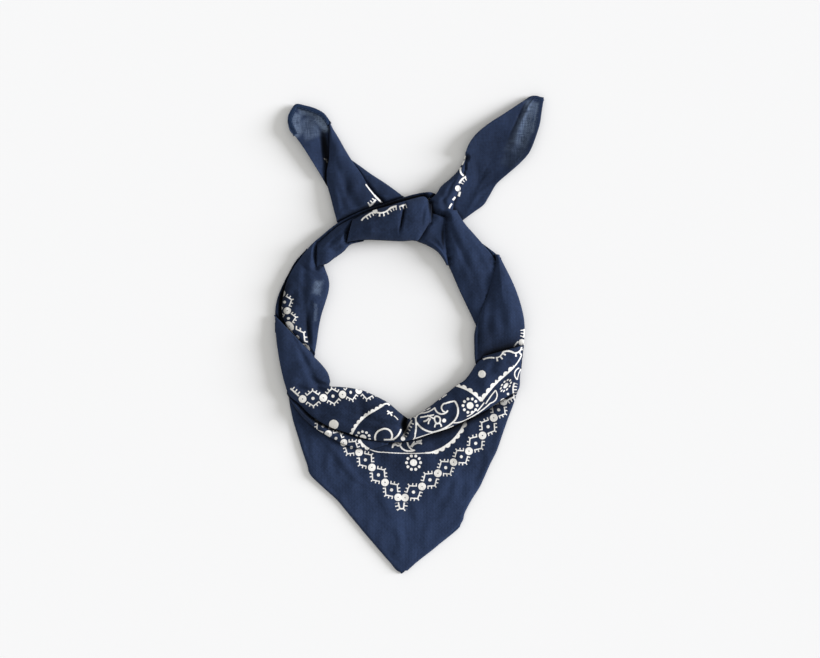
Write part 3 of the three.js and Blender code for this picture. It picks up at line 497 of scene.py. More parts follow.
# The print, in millimetres on the laid cloth. A chain goes from bead to bead. A dot has a radius.
# A flower has a turn in degrees and its length and breadth against a full one. A stroke runs
# through three places and has its width and, unless it is plain, its edging and on which side that
# stands. The edging is 0 for none, 1 for small scallops, 2 for ticks and 3 for large scallops, and
# the side is 1 for left, -1 for right.
TAIL_PRINT = [
    [42, 134.8, 41.2, 131.6, 39.7, 128, 1.1], [38.7, 126, 38.5, 122.6, 41, 119.8, 1.3],
    [42.6, 119.1, 40.2, 117.6, 37.7, 114, 1.3, 2, 1], [38, 107.8, 37.6, 106, 37, 104.4, 1.8],
    [34.5, 103.6, 33.6, 102.4, 32.6, 101.3, 1.3], [31.9, 98.6, 30.8, 96.8, 29.8, 95, 1.1],
]
PRINTS = {
    "point_front": {
        "chains": [
            [[-3.4, -123.3], [9.5, -114.8], [21.5, -104.8], [33.3, -96.4], [45, -88.1]],
            [[45, -88.1], [55.2, -76.3], [63.7, -62.9], [71.1, -50.8]],
            [[-8.6, -123], [-18.5, -111.8], [-28.4, -100.4], [-38.1, -89], [-49.6, -81.6]],
        ],
        "flowers": [[3.1, -96.8, 0, 1, 1]],
        "strokes": [
            [79, -36.3, 78.1, -41.2, 79.2, -46.8, 1.1, 2, 1],
            [79.4, -47.2, 76.6, -48.2, 73.6, -50.2, 1.1, 2, 1],
            [-8.4, -126.9, -7.9, -129.2, -7.3, -131.6, 1.1, 2, -1],
            [-3.9, -126.9, -4.2, -129.2, -4.5, -131.6, 1.1, 2, 1],
            [-7.4, -131.6, -5.9, -131.6, -4.4, -131.6, 1],
            [-7.4, -131.6, -8.4, -132.2, -9.3, -132.8, 0.9],
            [-4.5, -131.6, -3.9, -132.4, -3.3, -133.2, 0.9],
            [-37.8, -79, -35.2, -83, -30.6, -86.4, 1.6, 1, -1],
            [-30.6, -86.4, -26, -88.2, -19.4, -88.9, 0.7], [-19.4, -88.9, -2, -89.8, 17, -89.2, 0.65],
            [12, -89.4, 18.6, -88.6, 24, -86, 1.2], [17, -89.2, 31, -81.6, 42.4, -65, 1.7, 3, -1],
            [-12.7, -85.6, -11, -82.2, -7.4, -82.6, 1.2],
            [-12.7, -85.6, -10.4, -87.4, -9.2, -83.8, 1.2],
            [-9.4, -83.8, -7.6, -83.8, -6.4, -81.4, 1.1], [-7.2, -83.4, -4.4, -87, -0.6, -88, 1.2],
            [-0.6, -88, 1.6, -88, 4, -87.2, 1.2], [-1.6, -81.4, -0.8, -84, 2.6, -87.4, 1.2],
            [3.9, -80.8, 2.4, -82.8, 0.8, -84.8, 1.1], [1.6, -85, 4.6, -82.4, 9.4, -82.4, 1.2],
            [9.4, -82.4, 10.8, -81, 9.4, -79.9, 1.1], [9.4, -79.9, 7.6, -80.4, 5.2, -81.2, 1],
        ],
    },
    "front_pleat": {
        "chains": [[[-68.9, -62.9], [-61.3, -74.9], [-49.6, -81.6], [-38.1, -89]]],
        "strokes": [[-37.8, -79, -35.2, -83, -30.6, -86.4, 1.6, 1, -1]],
    },
    "front_roll": {
        "chains": [[[-80.5, -48.5], [-64.8, -47.6], [-50.4, -45.1], [-38.1, -41.9], [-24.5, -44]]],
        "dots": [
            [71.1, -50.8, 2.75], [74.3, -44.8, 0.95], [54.6, -29.7, 2.8], [-57, -67.7, 3.6],
            [26.1, -64.7, 1.5], [-4.9, -78.4, 1.7],
        ],
        "flowers": [[45.6, -53.4, 0, 1, 1], [72.6, -38.4, 50, 0.95, 0.5], [-35, -77.6, -15, 0.95, 0.85]],
        "strokes": [
            [79, -36.3, 78.1, -41.2, 79.2, -46.8, 1.1, 2, 1],
            [79.4, -47.2, 76.6, -48.2, 73.6, -50.2, 1.1, 2, 1],
            [-89.6, -40.6, -86.5, -43.4, -83.4, -46.2, 1.2, 2, 1],
            [84.7, -15.1, 82.4, -19.6, 79, -24, 0.9], [79, -24, 73, -29.7, 66.3, -35.4, 1.3, 3, -1],
            [66.3, -35.4, 59.6, -42.6, 54, -50.1, 1.7, 3, -1],
            [54, -50.1, 46, -42.9, 34.5, -38.2, 1.6, 3, -1],
            [-43.8, -75.5, -38.2, -66.2, -29.5, -58.8, 1.6, 1, 1],
            [-29.5, -58.8, -24.5, -56, -19.6, -52.9, 1.5, 1, 1],
            [-19.6, -52.9, -17.4, -52, -15, -53.4, 1.2],
            [84.6, -9.4, 82.5, -13, 78.6, -13.8, 1.1, 2, 1], [78.6, -13.8, 74, -12.4, 70.2, -13.4, 1.3],
            [70.2, -13.4, 68.6, -16, 65, -17.4, 0.9, 2, 1], [64, -17.6, 60.5, -17.4, 55.6, -18.8, 1.1],
            [82.7, -25.2, 80.4, -26.7, 81.4, -33.9, 0.9], [84, -26, 82.4, -29.5, 81.4, -33.9, 0.7],
            [34.1, -50.1, 36.6, -57.5, 33.3, -65.4, 1.3], [33.3, -65.4, 26.5, -70.5, 17.6, -73.6, 1.3],
            [17.6, -73.6, 9.9, -70.8, 5.2, -66, 1.3], [5.2, -66, 5.2, -62, 10.1, -59.1, 1.1],
            [10.1, -59.1, 15, -57.7, 19.1, -55, 0.9], [19.1, -55, 21.5, -58.9, 28.9, -57, 1.2],
            [26.9, -58.2, 24.1, -55, 27.5, -51.7, 1.1], [27.5, -51.7, 30.6, -50.7, 34.1, -50.1, 1.2],
            [19.4, -61.7, 22.6, -62.4, 23, -65.2, 1.2], [23, -65.2, 21, -66.9, 19.4, -65.2, 1.2],
            [19.4, -65.2, 18.8, -63.4, 19.4, -61.7, 1.2], [20.8, -66.4, 19.6, -67.6, 19.1, -69.8, 1.1],
            [21.6, -66.4, 23.2, -67.3, 24, -69.5, 1.1], [10.4, -65.4, 13, -64.5, 14.8, -62.6, 1.2],
            [14.2, -67.4, 14.6, -65.2, 16, -63.2, 1.1], [8, -62.4, 13, -61.4, 18.5, -60.4, 1],
            [13.5, -60.8, 16.5, -62.2, 18.9, -63.6, 1.1], [4.6, -63.1, 5, -69.5, 4.3, -75.3, 1.2],
            [4.3, -75.3, 2.9, -79.3, -1.5, -81, 1], [0.8, -63.9, 2.5, -62, 4.6, -63.1, 0.9],
            [1.7, -64.6, -1.4, -70, -5.2, -77.4, 1.1, 2, 1],
            [-25.6, -79.9, -25.4, -75.2, -21.2, -71.5, 1.3],
            [-21.2, -71.5, -15.2, -71.9, -13.9, -79, 1.3],
            [-19.3, -79.3, -15.5, -79.2, -11.6, -79.1, 1.2],
            [-12.5, -79.1, -9, -76.4, -6.4, -71.2, 1.3],
            [-16.8, -57.4, -14.8, -58.8, -13.2, -61.2, 1.1],
            [-16.6, -60, -14.6, -58.8, -12.6, -58.8, 0.9], [-11.6, -61.2, -10, -62.6, -8.6, -64.2, 0.7],
            [64.8, -42, 61.2, -46.4, 57.4, -52.2, 0.9], [56.2, -51.2, 53.2, -55.2, 51, -57.8, 0.9],
            [49.6, -56.8, 46.4, -60, 43.2, -61.6, 0.8], [64.8, -42, 66, -45.4, 61, -51.6, 0.9],
            [61, -51.6, 53, -58.2, 43.5, -63.8, 0.9], [43.5, -63.8, 38, -66, 32.9, -66.4, 0.9],
            [33.3, -68.7, 25.7, -71.6, 17.6, -74.2, 0.7], [17.6, -74.2, 10.1, -76.5, 4.6, -78.4, 0.8],
            [5.2, -60.6, 6.6, -59.6, 8.2, -58.9, 0.7], [9.2, -58.2, 10.6, -57.6, 12, -57.2, 0.7],
            [13, -56.8, 14.4, -56, 15.7, -55.2, 0.7], [22.2, -49.3, 23, -48.6, 23.8, -48, 0.7],
            [24.6, -47.4, 26.4, -46.2, 28, -45.2, 0.8],
        ],
    },
    "left_shoulder": {
        "chains": [[[-96.4, 31], [-92.2, 18], [-90.4, 6.4], [-78.4, -10.4]]],
    },
    "right_lower": {
        "dots": [[84.9, -5.9, 2.5]],
        "strokes": [[86.4, 4.2, 86.7, 0.8, 86, -2.4, 1.1, 2, -1], [82.2, -5.2, 80.4, -7, 79, -9.6, 1]],
    },
    "knot_band": {
        "dots": [[-25.9, 92.8, 1.9]],
        "strokes": [
            [-36, 85.6, -34.9, 87.2, -33.6, 88.2, 1.2],
            [-33.6, 88.2, -30.4, 90.4, -27, 92.2, 1.3, 2, -1],
            [-24.4, 91.8, -18.7, 91.9, -15.4, 94, 1.2, 2, -1],
            [-15.4, 94, -12.6, 95.8, -9.6, 96.4, 1.5, 2, -1],
            [-7.7, 96.2, -5.2, 97, -2.6, 97.8, 1.1, 2, -1],
        ],
    },
    "left_tail_flap": {
        "strokes": [
            [-33, 113.4, -29.8, 109.1, -26.6, 105.2, 0.9],
            [-26.6, 105.2, -24.3, 102.8, -22.2, 100.7, 1.3],
            [-22.2, 100.7, -20.9, 99.5, -19.4, 98.6, 1],
            [-30.4, 96.8, -27.6, 99, -25.4, 101.8, 1.3, 2, 1],
        ],
    },
    "left_tail_leaf": {
        "strokes": [
            [-64.4, 133.4, -63.4, 132.4, -62.4, 132.6, 1],
            [-63, 131.8, -62.4, 130.6, -62.2, 129.8, 0.9],
        ],
    },
    "right_tail_fold": {"dots": [[36.5, 110.2, 2.1]], "strokes": TAIL_PRINT},
    "right_tail_leaf": {"dots": [[36.5, 110.2, 2.1]], "strokes": TAIL_PRINT},
}

# Places where one sheer layer shows, as strokes through three places: width and strength.
SHEER_PLACES = {
    "left_shoulder": [
        [-68.4, 41, -69.2, 36, -70.6, 30, 7, 0.5], [-70.6, 23, -70.8, 17, -71.3, 10, 2, 0.55],
    ],
    "left_tail_leaf": [
        [-84.6, 168, -86, 160, -82, 150, 9, 0.55], [-84, 168.4, -76, 168, -69, 164.5, 6, 0.6],
        [-71, 165.5, -64.8, 160.5, -61.6, 153, 9, 0.95], [-80, 164, -76, 157, -72, 148, 14, 0.3],
    ],
    "right_tail_leaf": [
        [92.5, 177, 89.4, 166, 85, 153, 10, 0.5], [88.5, 163, 85.5, 152, 81.6, 142, 14, 0.38],
        [86.5, 156, 82, 145, 78, 136, 16, 0.2], [83, 143, 79, 134, 75, 126, 16, 0.1],
        [96.2, 175, 94.9, 165, 92.2, 152.5, 2.2, 0.9],
    ],
    "right_upper": [[56, 68.5, 62, 64, 66, 57.5, 2.4, 0.3]],
}

# Sizes of the chain print. A link is a diamond, and its sides lie at 36.5 degrees to the chain: their
# cosine and sine.
HALF_PITCH = 7.7
LINK_HEIGHT = 5.8
SIDE_RUN = (0.804, 0.595)
SIDE_LENGTH = 5.6
LINE_HALF_WIDTH = 0.45
TICK_PAIR_MIDDLE = 3.9
HALF_TICK_GAP = 1.35
TICK_HALF_WIDTH = 0.42
TICK_OUTWARD = 0.95
HALF_TICK_LENGTH = 1.05
APEX_OUTWARD = 0.7
HALF_APEX_LENGTH = 0.9
BEAD_RADIUS = 2.9
PIN_RADIUS = 0.42
LINK_DOT_RADIUS = 1.2

# Sizes of a flower: ten petals in a ring round a disc.
PETAL_RING = 5.3
PETAL_RADIUS = 1.08
DISC_RADIUS = 2.6

# Radius and half the spacing of scallops, by the edging's number, and the ticks of edging 2.
SCALLOPS = {1: (1.7, 1.85), 3: (2.15, 2.5)}
TICKS = 2
HALF_TICK = 1.4
HALF_EDGE_TICK = 0.43
NO_EDGING = -99

# A stroke whose places lie nearly in line gets a slight bend.
NEARLY_STRAIGHT = 0.4
SLIGHT_BEND = 0.004

# The ink's edge fades from full to none between these distances.
INK_EDGE = (0.12, 0.36)

# A sheer place fades out between these distances from its line, ragged and gappy along the slubs.
SHEER_EDGE = (-2.2, 1.2)
SHEER_RAGGED = 3.2
SHEER_GAPS = 1.1

# How much each cause changes the dye's tone, and how high each stands in the surface.
PATCH_TONES = (0.84, 1.14)
FLECK_TONE = 0.2
RUBBED_AND_HIGHLIT_TONE = 0.45
SLUB_TONE = 0.28
WEAVE_TONE = 0.06
WEAVE_HEIGHT = 0.05
SLUB_HEIGHT = 0.06
CRUMPLE_HEIGHT = 0.3

# How each inked shape is measured. A step has its result, what is done, and one to three earlier
# results or sizes. The last result is the distance to the shape's edge, negative inside it.
CHAIN_STEPS = [
    ("across", "ABSOLUTE", "u"),
    ("up", "ABSOLUTE", "v"),
    ("over", "MULTIPLY_ADD", "across", SIDE_RUN[1], -LINK_HEIGHT * SIDE_RUN[0]),
    ("side", "MULTIPLY_ADD", "up", SIDE_RUN[0], "over"),
    ("forward", "MULTIPLY_ADD", "across", SIDE_RUN[0], LINK_HEIGHT * SIDE_RUN[1]),
    ("along", "MULTIPLY_ADD", "up", -SIDE_RUN[1], "forward"),
    ("side line", "ABSOLUTE", "side"),
    ("line", "SUBTRACT", "side line", LINE_HALF_WIDTH),
    ("short", "SUBTRACT", "along", SIDE_LENGTH),
    ("outline", "MAXIMUM", "line", "short"),
    ("tick middle", "SUBTRACT", "along", TICK_PAIR_MIDDLE),
    ("tick pair", "ABSOLUTE", "tick middle"),
    ("tick each", "SUBTRACT", "tick pair", HALF_TICK_GAP),
    ("tick off", "ABSOLUTE", "tick each"),
    ("tick width", "SUBTRACT", "tick off", TICK_HALF_WIDTH),
    ("tick outward", "SUBTRACT", "side", TICK_OUTWARD),
    ("tick reach", "ABSOLUTE", "tick outward"),
    ("tick end", "SUBTRACT", "tick reach", HALF_TICK_LENGTH),
    ("ticks", "MAXIMUM", "tick width", "tick end"),
    ("apex outward", "SUBTRACT", "up", LINK_HEIGHT + APEX_OUTWARD),
    ("apex reach", "ABSOLUTE", "apex outward"),
    ("apex end", "SUBTRACT", "apex reach", HALF_APEX_LENGTH),
    ("apex width", "SUBTRACT", "across", LINE_HALF_WIDTH),
    ("apex", "MAXIMUM", "apex width", "apex end"),
    ("across squared", "MULTIPLY", "across", "across"),
    ("middle squared", "MULTIPLY_ADD", "up", "up", "across squared"),
    ("middle", "SQRT", "middle squared"),
    ("dot", "SUBTRACT", "middle", LINK_DOT_RADIUS),
    ("bead across", "SUBTRACT", "across", HALF_PITCH),
    ("bead across squared", "MULTIPLY", "bead across", "bead across"),
    ("bead squared", "MULTIPLY_ADD", "up", "up", "bead across squared"),
    ("bead middle", "SQRT", "bead squared"),
    ("bead edge", "SUBTRACT", "bead middle", BEAD_RADIUS),
    ("pin hole", "SUBTRACT", PIN_RADIUS, "bead middle"),
    ("bead", "MAXIMUM", "bead edge", "pin hole"),
    ("nearest 1", "MINIMUM", "outline", "ticks"),
    ("nearest 2", "MINIMUM", "nearest 1", "apex"),
    ("nearest 3", "MINIMUM", "nearest 2", "dot"),
    ("nearest", "MINIMUM", "nearest 3", "bead"),
]
FLOWER_STEPS = [
    ("u squared", "MULTIPLY", "u", "u"),
    ("reach squared", "MULTIPLY_ADD", "v", "v", "u squared"),
    ("reach", "SQRT", "reach squared"),
    ("angle", "ARCTAN2", "v", "u"),
    ("folded", "PINGPONG", "angle", math.pi / 10),
    ("cosine", "COSINE", "folded"),
    ("sine", "SINE", "folded"),
    ("petal up", "MULTIPLY", "reach", "sine"),
    ("petal out", "MULTIPLY_ADD", "reach", "cosine", -PETAL_RING),
    ("petal up squared", "MULTIPLY", "petal up", "petal up"),
    ("petal squared", "MULTIPLY_ADD", "petal out", "petal out", "petal up squared"),
    ("petal middle", "SQRT", "petal squared"),
    ("petal", "SUBTRACT", "petal middle", PETAL_RADIUS),
    ("disc", "SUBTRACT", "reach", DISC_RADIUS),
    ("nearest", "MINIMUM", "petal", "disc"),
]
DOT_STEPS = [
    ("u squared", "MULTIPLY", "u", "u"),
    ("reach squared", "MULTIPLY_ADD", "v", "v", "u squared"),
    ("reach", "SQRT", "reach squared"),
    ("nearest", "SUBTRACT", "reach", "Radius"),
]
STROKE_STEPS = [
    ("u squared", "MULTIPLY", "u", "u"),
    ("reach squared", "MULTIPLY_ADD", "v", "v", "u squared"),
    ("reach", "SQRT", "reach squared"),
    ("beyond", "SUBTRACT", "reach", "Radius"),
    ("off", "MULTIPLY", "beyond", "Side"),
    ("angle", "ARCTAN2", "v", "u"),
    ("along", "MULTIPLY", "angle", "Radius"),
    ("from middle", "ABSOLUTE", "along"),
    ("end", "SUBTRACT", "from middle", "Half Length"),
    ("off line", "ABSOLUTE", "off"),
    ("line", "SUBTRACT", "off line", "Half Width"),
    ("repeat", "PINGPONG", "along", "Half Repeat"),
    ("repeat squared", "MULTIPLY", "repeat", "repeat"),
    ("bump squared", "MULTIPLY_ADD", "off", "off", "repeat squared"),
    ("bump middle", "SQRT", "bump squared"),
    ("round bump", "SUBTRACT", "bump middle", "Scallop"),
    ("within", "ADD", "off", "Half Width"),
    ("inside", "MULTIPLY", "within", -1),
    ("bump", "MAXIMUM", "round bump", "inside"),
    ("tick width", "SUBTRACT", "repeat", HALF_EDGE_TICK),
    ("tick outward", "SUBTRACT", "off", "Half Tick"),
    ("tick reach", "ABSOLUTE", "tick outward"),
    ("tick end", "SUBTRACT", "tick reach", "Half Tick"),
    ("tick", "MAXIMUM", "tick width", "tick end"),
    ("edging", "MINIMUM", "bump", "tick"),
    ("whole", "MINIMUM", "edging", "line"),
    ("nearest", "MAXIMUM", "whole", "end"),
]

# The stage, in metres. The camera looks straight down and sees 621 mm of the floor across.
FLOOR_HALF = 3.0
FLOOR_HEIGHT = -0.00005
SENSOR_WIDTH = 36
FOCAL_LENGTH = 116
CAMERA_PLACE = (0.0004, 0.0042, 2.0)
# A soft light from the right throws short shadows to the left.
LIGHT_FROM = (1.0, 0.12, 0.37)
LIGHT_SPREAD = math.radians(26)
LIGHT_COLOUR = (0.955, 0.965, 1.0)
SKY_COLOUR = (1, 0.995, 0.96, 1)


def linear(hex_colour):
    """A colour given as sRGB hex, as linear red, green, blue and alpha."""
    parts = [int(hex_colour[i : i + 2], 16) / 255 for i in (1, 3, 5)]
    return tuple(p / 12.92 if p <= 0.04045 else ((p + 0.055) / 1.055) ** 2.4 for p in parts) + (1.0,)


def add(tree, kind, inputs=(), **settings):
    """Adds a node. Each input is a value or another node's output."""
    node = tree.nodes.new(kind)
    for name, value in settings.items():
        setattr(node, name, value)
    for name, value in dict(inputs).items():
        if isinstance(value, bpy.types.NodeSocket):
            tree.links.new(value, node.inputs[name])
        else:
            node.inputs[name].default_value = value
    return node


def size_property(name, description, default, low, high):
    """A size that a user may change, given here in millimetres."""
    return bpy.props.FloatProperty(
        name=name,
        description=description,
        default=default * MM,
        min=low * MM,
        max=high * MM,
        precision=5,
        subtype="DISTANCE",
        unit="LENGTH",
    )


def colour_property(name, description, hex_colour):
    """A colour that a user may change, given here as sRGB hex."""
    return bpy.props.FloatVectorProperty(
        name=name,
        description=description,
        default=linear(hex_colour),
        subtype="COLOR",
        size=4,
        min=0,
        max=1,
    )


class BandanaSizes(bpy.types.PropertyGroup):
    """Sizes a user would change"""

    wall: size_property("Cloth", "Thickness of the drawn cloth", CLOTH_WALL, 0.2, 1)
    crumple: size_property("Crumple", "Height of the soft unevenness between the creases", 0.55, 0, 2)
    hem_width: size_property("Hem width", "Width of the turned hem", 3.6, 2, 6)
    stitch_pitch: size_property("Stitch pitch", "From one hem stitch to the next", 2.6, 1.5, 6)
    stitch_length: size_property("Stitch length", "How much thread shows in each stitch", 1.8, 0.8, 4)
    # Bandana cotton has about 30 threads a centimetre, 0.33 mm apart. They are drawn 0.8 mm apart,
    # as coarse as they need to be to show.
    thread_pitch: size_property("Thread pitch", "From one thread of the weave to the next", 0.8, 0.3, 2)


class BandanaColours(bpy.types.PropertyGroup):
    """Dyes, ink and light"""

    navy: colour_property("Dye", "Navy dye of the cloth", "#232f48")
    hem: colour_property("Hem", "The hem, darker where the cloth is three layers thick", "#1b2a43")
    thread: colour_property("Thread", "Sewing thread, a shade paler than the cloth", "#34445e")
    sheer: colour_property("Sheer", "Navy with the pale table showing through one layer", "#66758c")
    ink: colour_property("Print", "Off-white print", "#eeece8")
    floor: colour_property("Floor", "Pale floor", "#f1f1f2")
    key_light: bpy.props.FloatProperty(
        name="Key light",
        description="Strength of the soft light from the right, in watts per square metre",
        default=4.25,
        min=0,
        max=20,
    )
    sky: bpy.props.FloatProperty(
        name="Fill light",
        description="Strength of the even light all round",
        default=0.62,
        min=0,
        max=3,
    )


def smoothed(rows):
    """Puts extra rows between those of a table, on a smooth curve through each column."""
    rows = np.array(rows, float)
    last = len(rows) - 1
    result, numbers = [], []
    for i in range(last):
        before, here, after, later = rows[max(i - 1, 0)], rows[i], rows[i + 1], rows[min(i + 2, last)]
        gap = max(math.dist(here[:2], after[:2]), math.dist(here[2:4], after[2:4]))
        steps = max(2, math.ceil(gap / FACE_LENGTH))
        bend = 2 * before - 5 * here + 4 * after - later
        rise = 3 * (here - after) + later - before
        for step in range(steps + (i == last - 1)):
            part = step / steps
            result.append(here + 0.5 * part * (after - before + part * (bend + part * rise)))
            numbers.append(i + part)
    return np.array(result), np.array(numbers)


def soft(share):
    """1 in the middle of a fold, easing off to 0 at its half width."""
    return 0.5 + 0.5 * np.cos(np.pi * np.clip(share, 0, 1))


def crease_depth(creases, numbers, share):
    """How far the creases lower the cloth, for each row and each share of the width."""
    depth = np.zeros((len(numbers), share.shape[-1]))
    for from_row, to_row, from_share, to_share, deep, half_width in creases:
        along = np.clip((numbers - from_row) / (to_row - from_row), 0, 1)[:, None]
        centre = from_share + (to_share - from_share) * along
        depth += deep * np.sin(np.pi * along) * soft(np.abs(share - centre) / half_width)
    return depth


def fold_depth(folds, x, y):
    """How far the sharper folds lower the cloth at places in millimetres."""
    depth = np.zeros(x.shape)
    for x1, y1, x2, y2, x3, y3, deep, half_width in folds:
        nearest = np.full(x.shape, FAR)
        taper = np.zeros(x.shape)
        for half, (ax, ay, bx, by) in enumerate(((x1, y1, x2, y2), (x2, y2, x3, y3))):
            run = (bx - ax) ** 2 + (by - ay) ** 2
            part = np.clip(((x - ax) * (bx - ax) + (y - ay) * (by - ay)) / run, 0, 1)
            away = np.hypot(x - ax - part * (bx - ax), y - ay - part * (by - ay))
            closer = away < nearest
            nearest = np.where(closer, away, nearest)
            # A fold is deepest in its middle and ends bluntly.
            run_share = np.clip((half + part) / 2, *BLUNT_ENDS)
            taper = np.where(closer, np.sin(np.pi * run_share) ** 0.5, taper)
        depth += deep * taper * soft(nearest / half_width)
    return depth


def crumpled(x, y, height):
    """Soft unevenness of worn cotton at places in millimetres, as waves that cross each other."""
    rise = np.zeros(x.shape)
    for wave in range(CRUMPLE_WAVES):
        turn = CRUMPLE_TURN * wave
        length = SHORTEST_WAVE + WAVE_STEP * (wave * 5 % CRUMPLE_WAVES)
        along = (x * math.cos(turn) + y * math.sin(turn)) * 2 * math.pi / length
        across = (y * math.cos(turn) - x * math.sin(turn)) / (length * SWAY_LENGTH)
        rise += np.sin(along + WAVE_SWAY * np.sin(across + wave) + WAVE_SHIFT * wave)
    return height * rise / WAVES_TOGETHER


def band_section(width, crown, layers):
    """One closed section: underside, outer side with its layers, crown and inner side. Gives the
    share across, the height, how far the skin has run past each edge and where the crown is."""
    notch = min(NOTCH_DEPTH, NOTCH_SHARE * width) / width
    top = crown * SIDE_SHARE
    levels = np.linspace(0, 1, POINTS_A_LAYER * layers + 1)
    lobe = np.abs(np.sin(np.pi * (layers - 0.5) * levels)) ** LAYER_ROUNDNESS
    inset = notch * (1 - lobe)
    across = 0.5 - 0.5 * np.cos(np.pi * np.linspace(0, 1, POINTS_OVER_CROWN))[1:-1]
    hump = np.sin(np.pi * across) ** CROWN_ROUNDNESS
    under = np.linspace(1 - notch, notch, POINTS_UNDER)[:-1]
    share = np.concatenate([under, inset, across, 1 - inset[::-1]])
    height = np.concatenate([0 * under, top * levels, top + (crown - top) * hump, top * levels[::-1]])
    past = np.concatenate(
        [-(top + under * width), -top * (1 - levels), 0 * across, top * (1 - levels[::-1])]
    )
    crowned = np.concatenate([0 * under, 0 * levels, hump, 0 * levels])
    return share, height, past, crowned


def with_ends(points, places, run):
    """Rounds both ends of a lofted skin over and closes them with shrinking rings."""
    rings, marks = list(points), list(places)
    for at_end in (False, True):
        ring, mark, inner = (rings[-1], marks[-1], rings[-2]) if at_end else (rings[0], marks[0], rings[1])
        outward = ring.mean(axis=0) - inner.mean(axis=0)
        outward[2] = 0
        outward /= np.linalg.norm(outward)
        drop = min(END_DROP, DROP_SHARE * ring[:, 2].max())
        top = np.clip(ring[:, 2] / ring[:, 2].max(), 0, 1)[:, None]
        new_rings, new_marks = [], []
        for step in END_STEPS:
            lowered = drop * (1 - math.sqrt(max(0.0, 1 - step * step)))
            new_rings.append(ring + outward * run * step - np.array([0, 0, 1]) * lowered * top**2)
            new_marks.append(mark + outward[:2] * run * step)
        wall, edge = new_rings[-1], new_marks[-1]
        centre = wall.mean(axis=0)
        for shrink in END_RINGS:
            new_rings.append(centre + (wall - centre) * shrink + outward * END_BULGE * (1 - shrink))
            new_marks.append(edge + outward[:2] * (1 - shrink) * END_PRINT)
        if at_end:
            rings, marks = rings + new_rings, marks + new_marks
        else:
            rings, marks = new_rings[::-1] + rings, new_marks[::-1] + marks
    return np.array(rings), np.array(marks)


# The chart of each piece that is made already, which the pieces under it are pressed down by.
CHARTS = {}


def chart_of(grid):
    """The highest cloth over each cell of the table."""
    fine = np.array(grid)
    for axis in (0, 1):
        count = (fine.shape[axis] - 1) * CHART_FINENESS + 1
        at = np.linspace(0, fine.shape[axis] - 1, count)
        low = np.minimum(at.astype(int), fine.shape[axis] - 2)
        part = (at - low).reshape((-1, 1, 1) if axis == 0 else (1, -1, 1))
        fine = np.take(fine, low, axis) * (1 - part) + np.take(fine, low + 1, axis) * part
    chart = np.full(CHART_CELLS, -1.0)
    cell = np.round((fine[..., :2] - CHART_ORIGIN) / CHART_CELL).astype(int)
    np.maximum.at(chart, (cell[..., 0].ravel(), cell[..., 1].ravel()), fine[..., 2].ravel())
    return chart


def ceiling_under(spec):
    """How high cloth may lie near and below the pieces that are laid over it."""
    above = np.full(CHART_CELLS, FAR)
    for name in spec["under"]:
        chart = CHARTS[name]
        pinch = FAR if name in spec.get("close", ()) else spec.get("pinch", PINCH)
        above = np.minimum(above, np.where(chart > 0, np.minimum(chart - TUCK_GAP, pinch), FAR))
    ceiling = above.copy()
    cells = int(TUCK_REACH / CHART_CELL)
    for i in range(-cells, cells + 1):
        for j in range(-cells, cells + 1):
            away = math.hypot(i, j) * CHART_CELL
            if 0 < away <= TUCK_REACH:
                # The slope eases off, so that the cloth rounds over into the fold.
                eased = np.roll(above, (i, j), (0, 1)) + TUCK_RISE * away**TUCK_EASE
                ceiling = np.minimum(ceiling, eased)
    return np.maximum(ceiling, TUCK_FLOOR)


def sampled(chart, x, y):
    """A chart's values at places in millimetres."""
    at_x = (x - CHART_ORIGIN[0]) / CHART_CELL
    at_y = (y - CHART_ORIGIN[1]) / CHART_CELL
    low_x = np.clip(np.floor(at_x).astype(int), 0, CHART_CELLS[0] - 2)
    low_y = np.clip(np.floor(at_y).astype(int), 0, CHART_CELLS[1] - 2)
    part_x, part_y = at_x - low_x, at_y - low_y
    value = 0
    for i in (0, 1):
        for j in (0, 1):
            weight = np.abs(1 - i - part_x) * np.abs(1 - j - part_y)
            value = value + weight * chart[low_x + i, low_y + j]
    return value


def tucked(points, spec):
    """Presses a skin down where other pieces lie over it."""
    if not spec.get("under"):
        return points
    limit = sampled(ceiling_under(spec), points[..., 0], points[..., 1])
    result = points.copy()
    result[..., 2] = np.minimum(points[..., 2], limit)
    return result


def closed_in(x, y, z, whole):
    """How far the cloth around each place shuts it in, from 0 in the open."""
    closed = np.zeros(len(x))
    for turn in np.arange(DIRECTIONS) * 2 * math.pi / DIRECTIONS:
        horizon = np.zeros(len(x))
        for reach in LOOK_ROUND:
            around = sampled(whole, x + reach * math.cos(turn), y + reach * math.sin(turn))
            horizon = np.maximum(horizon, (around - z - LOOK_OVER) / reach)
        closed += np.sin(np.arctan(horizon)) ** 4 / DIRECTIONS
    return closed


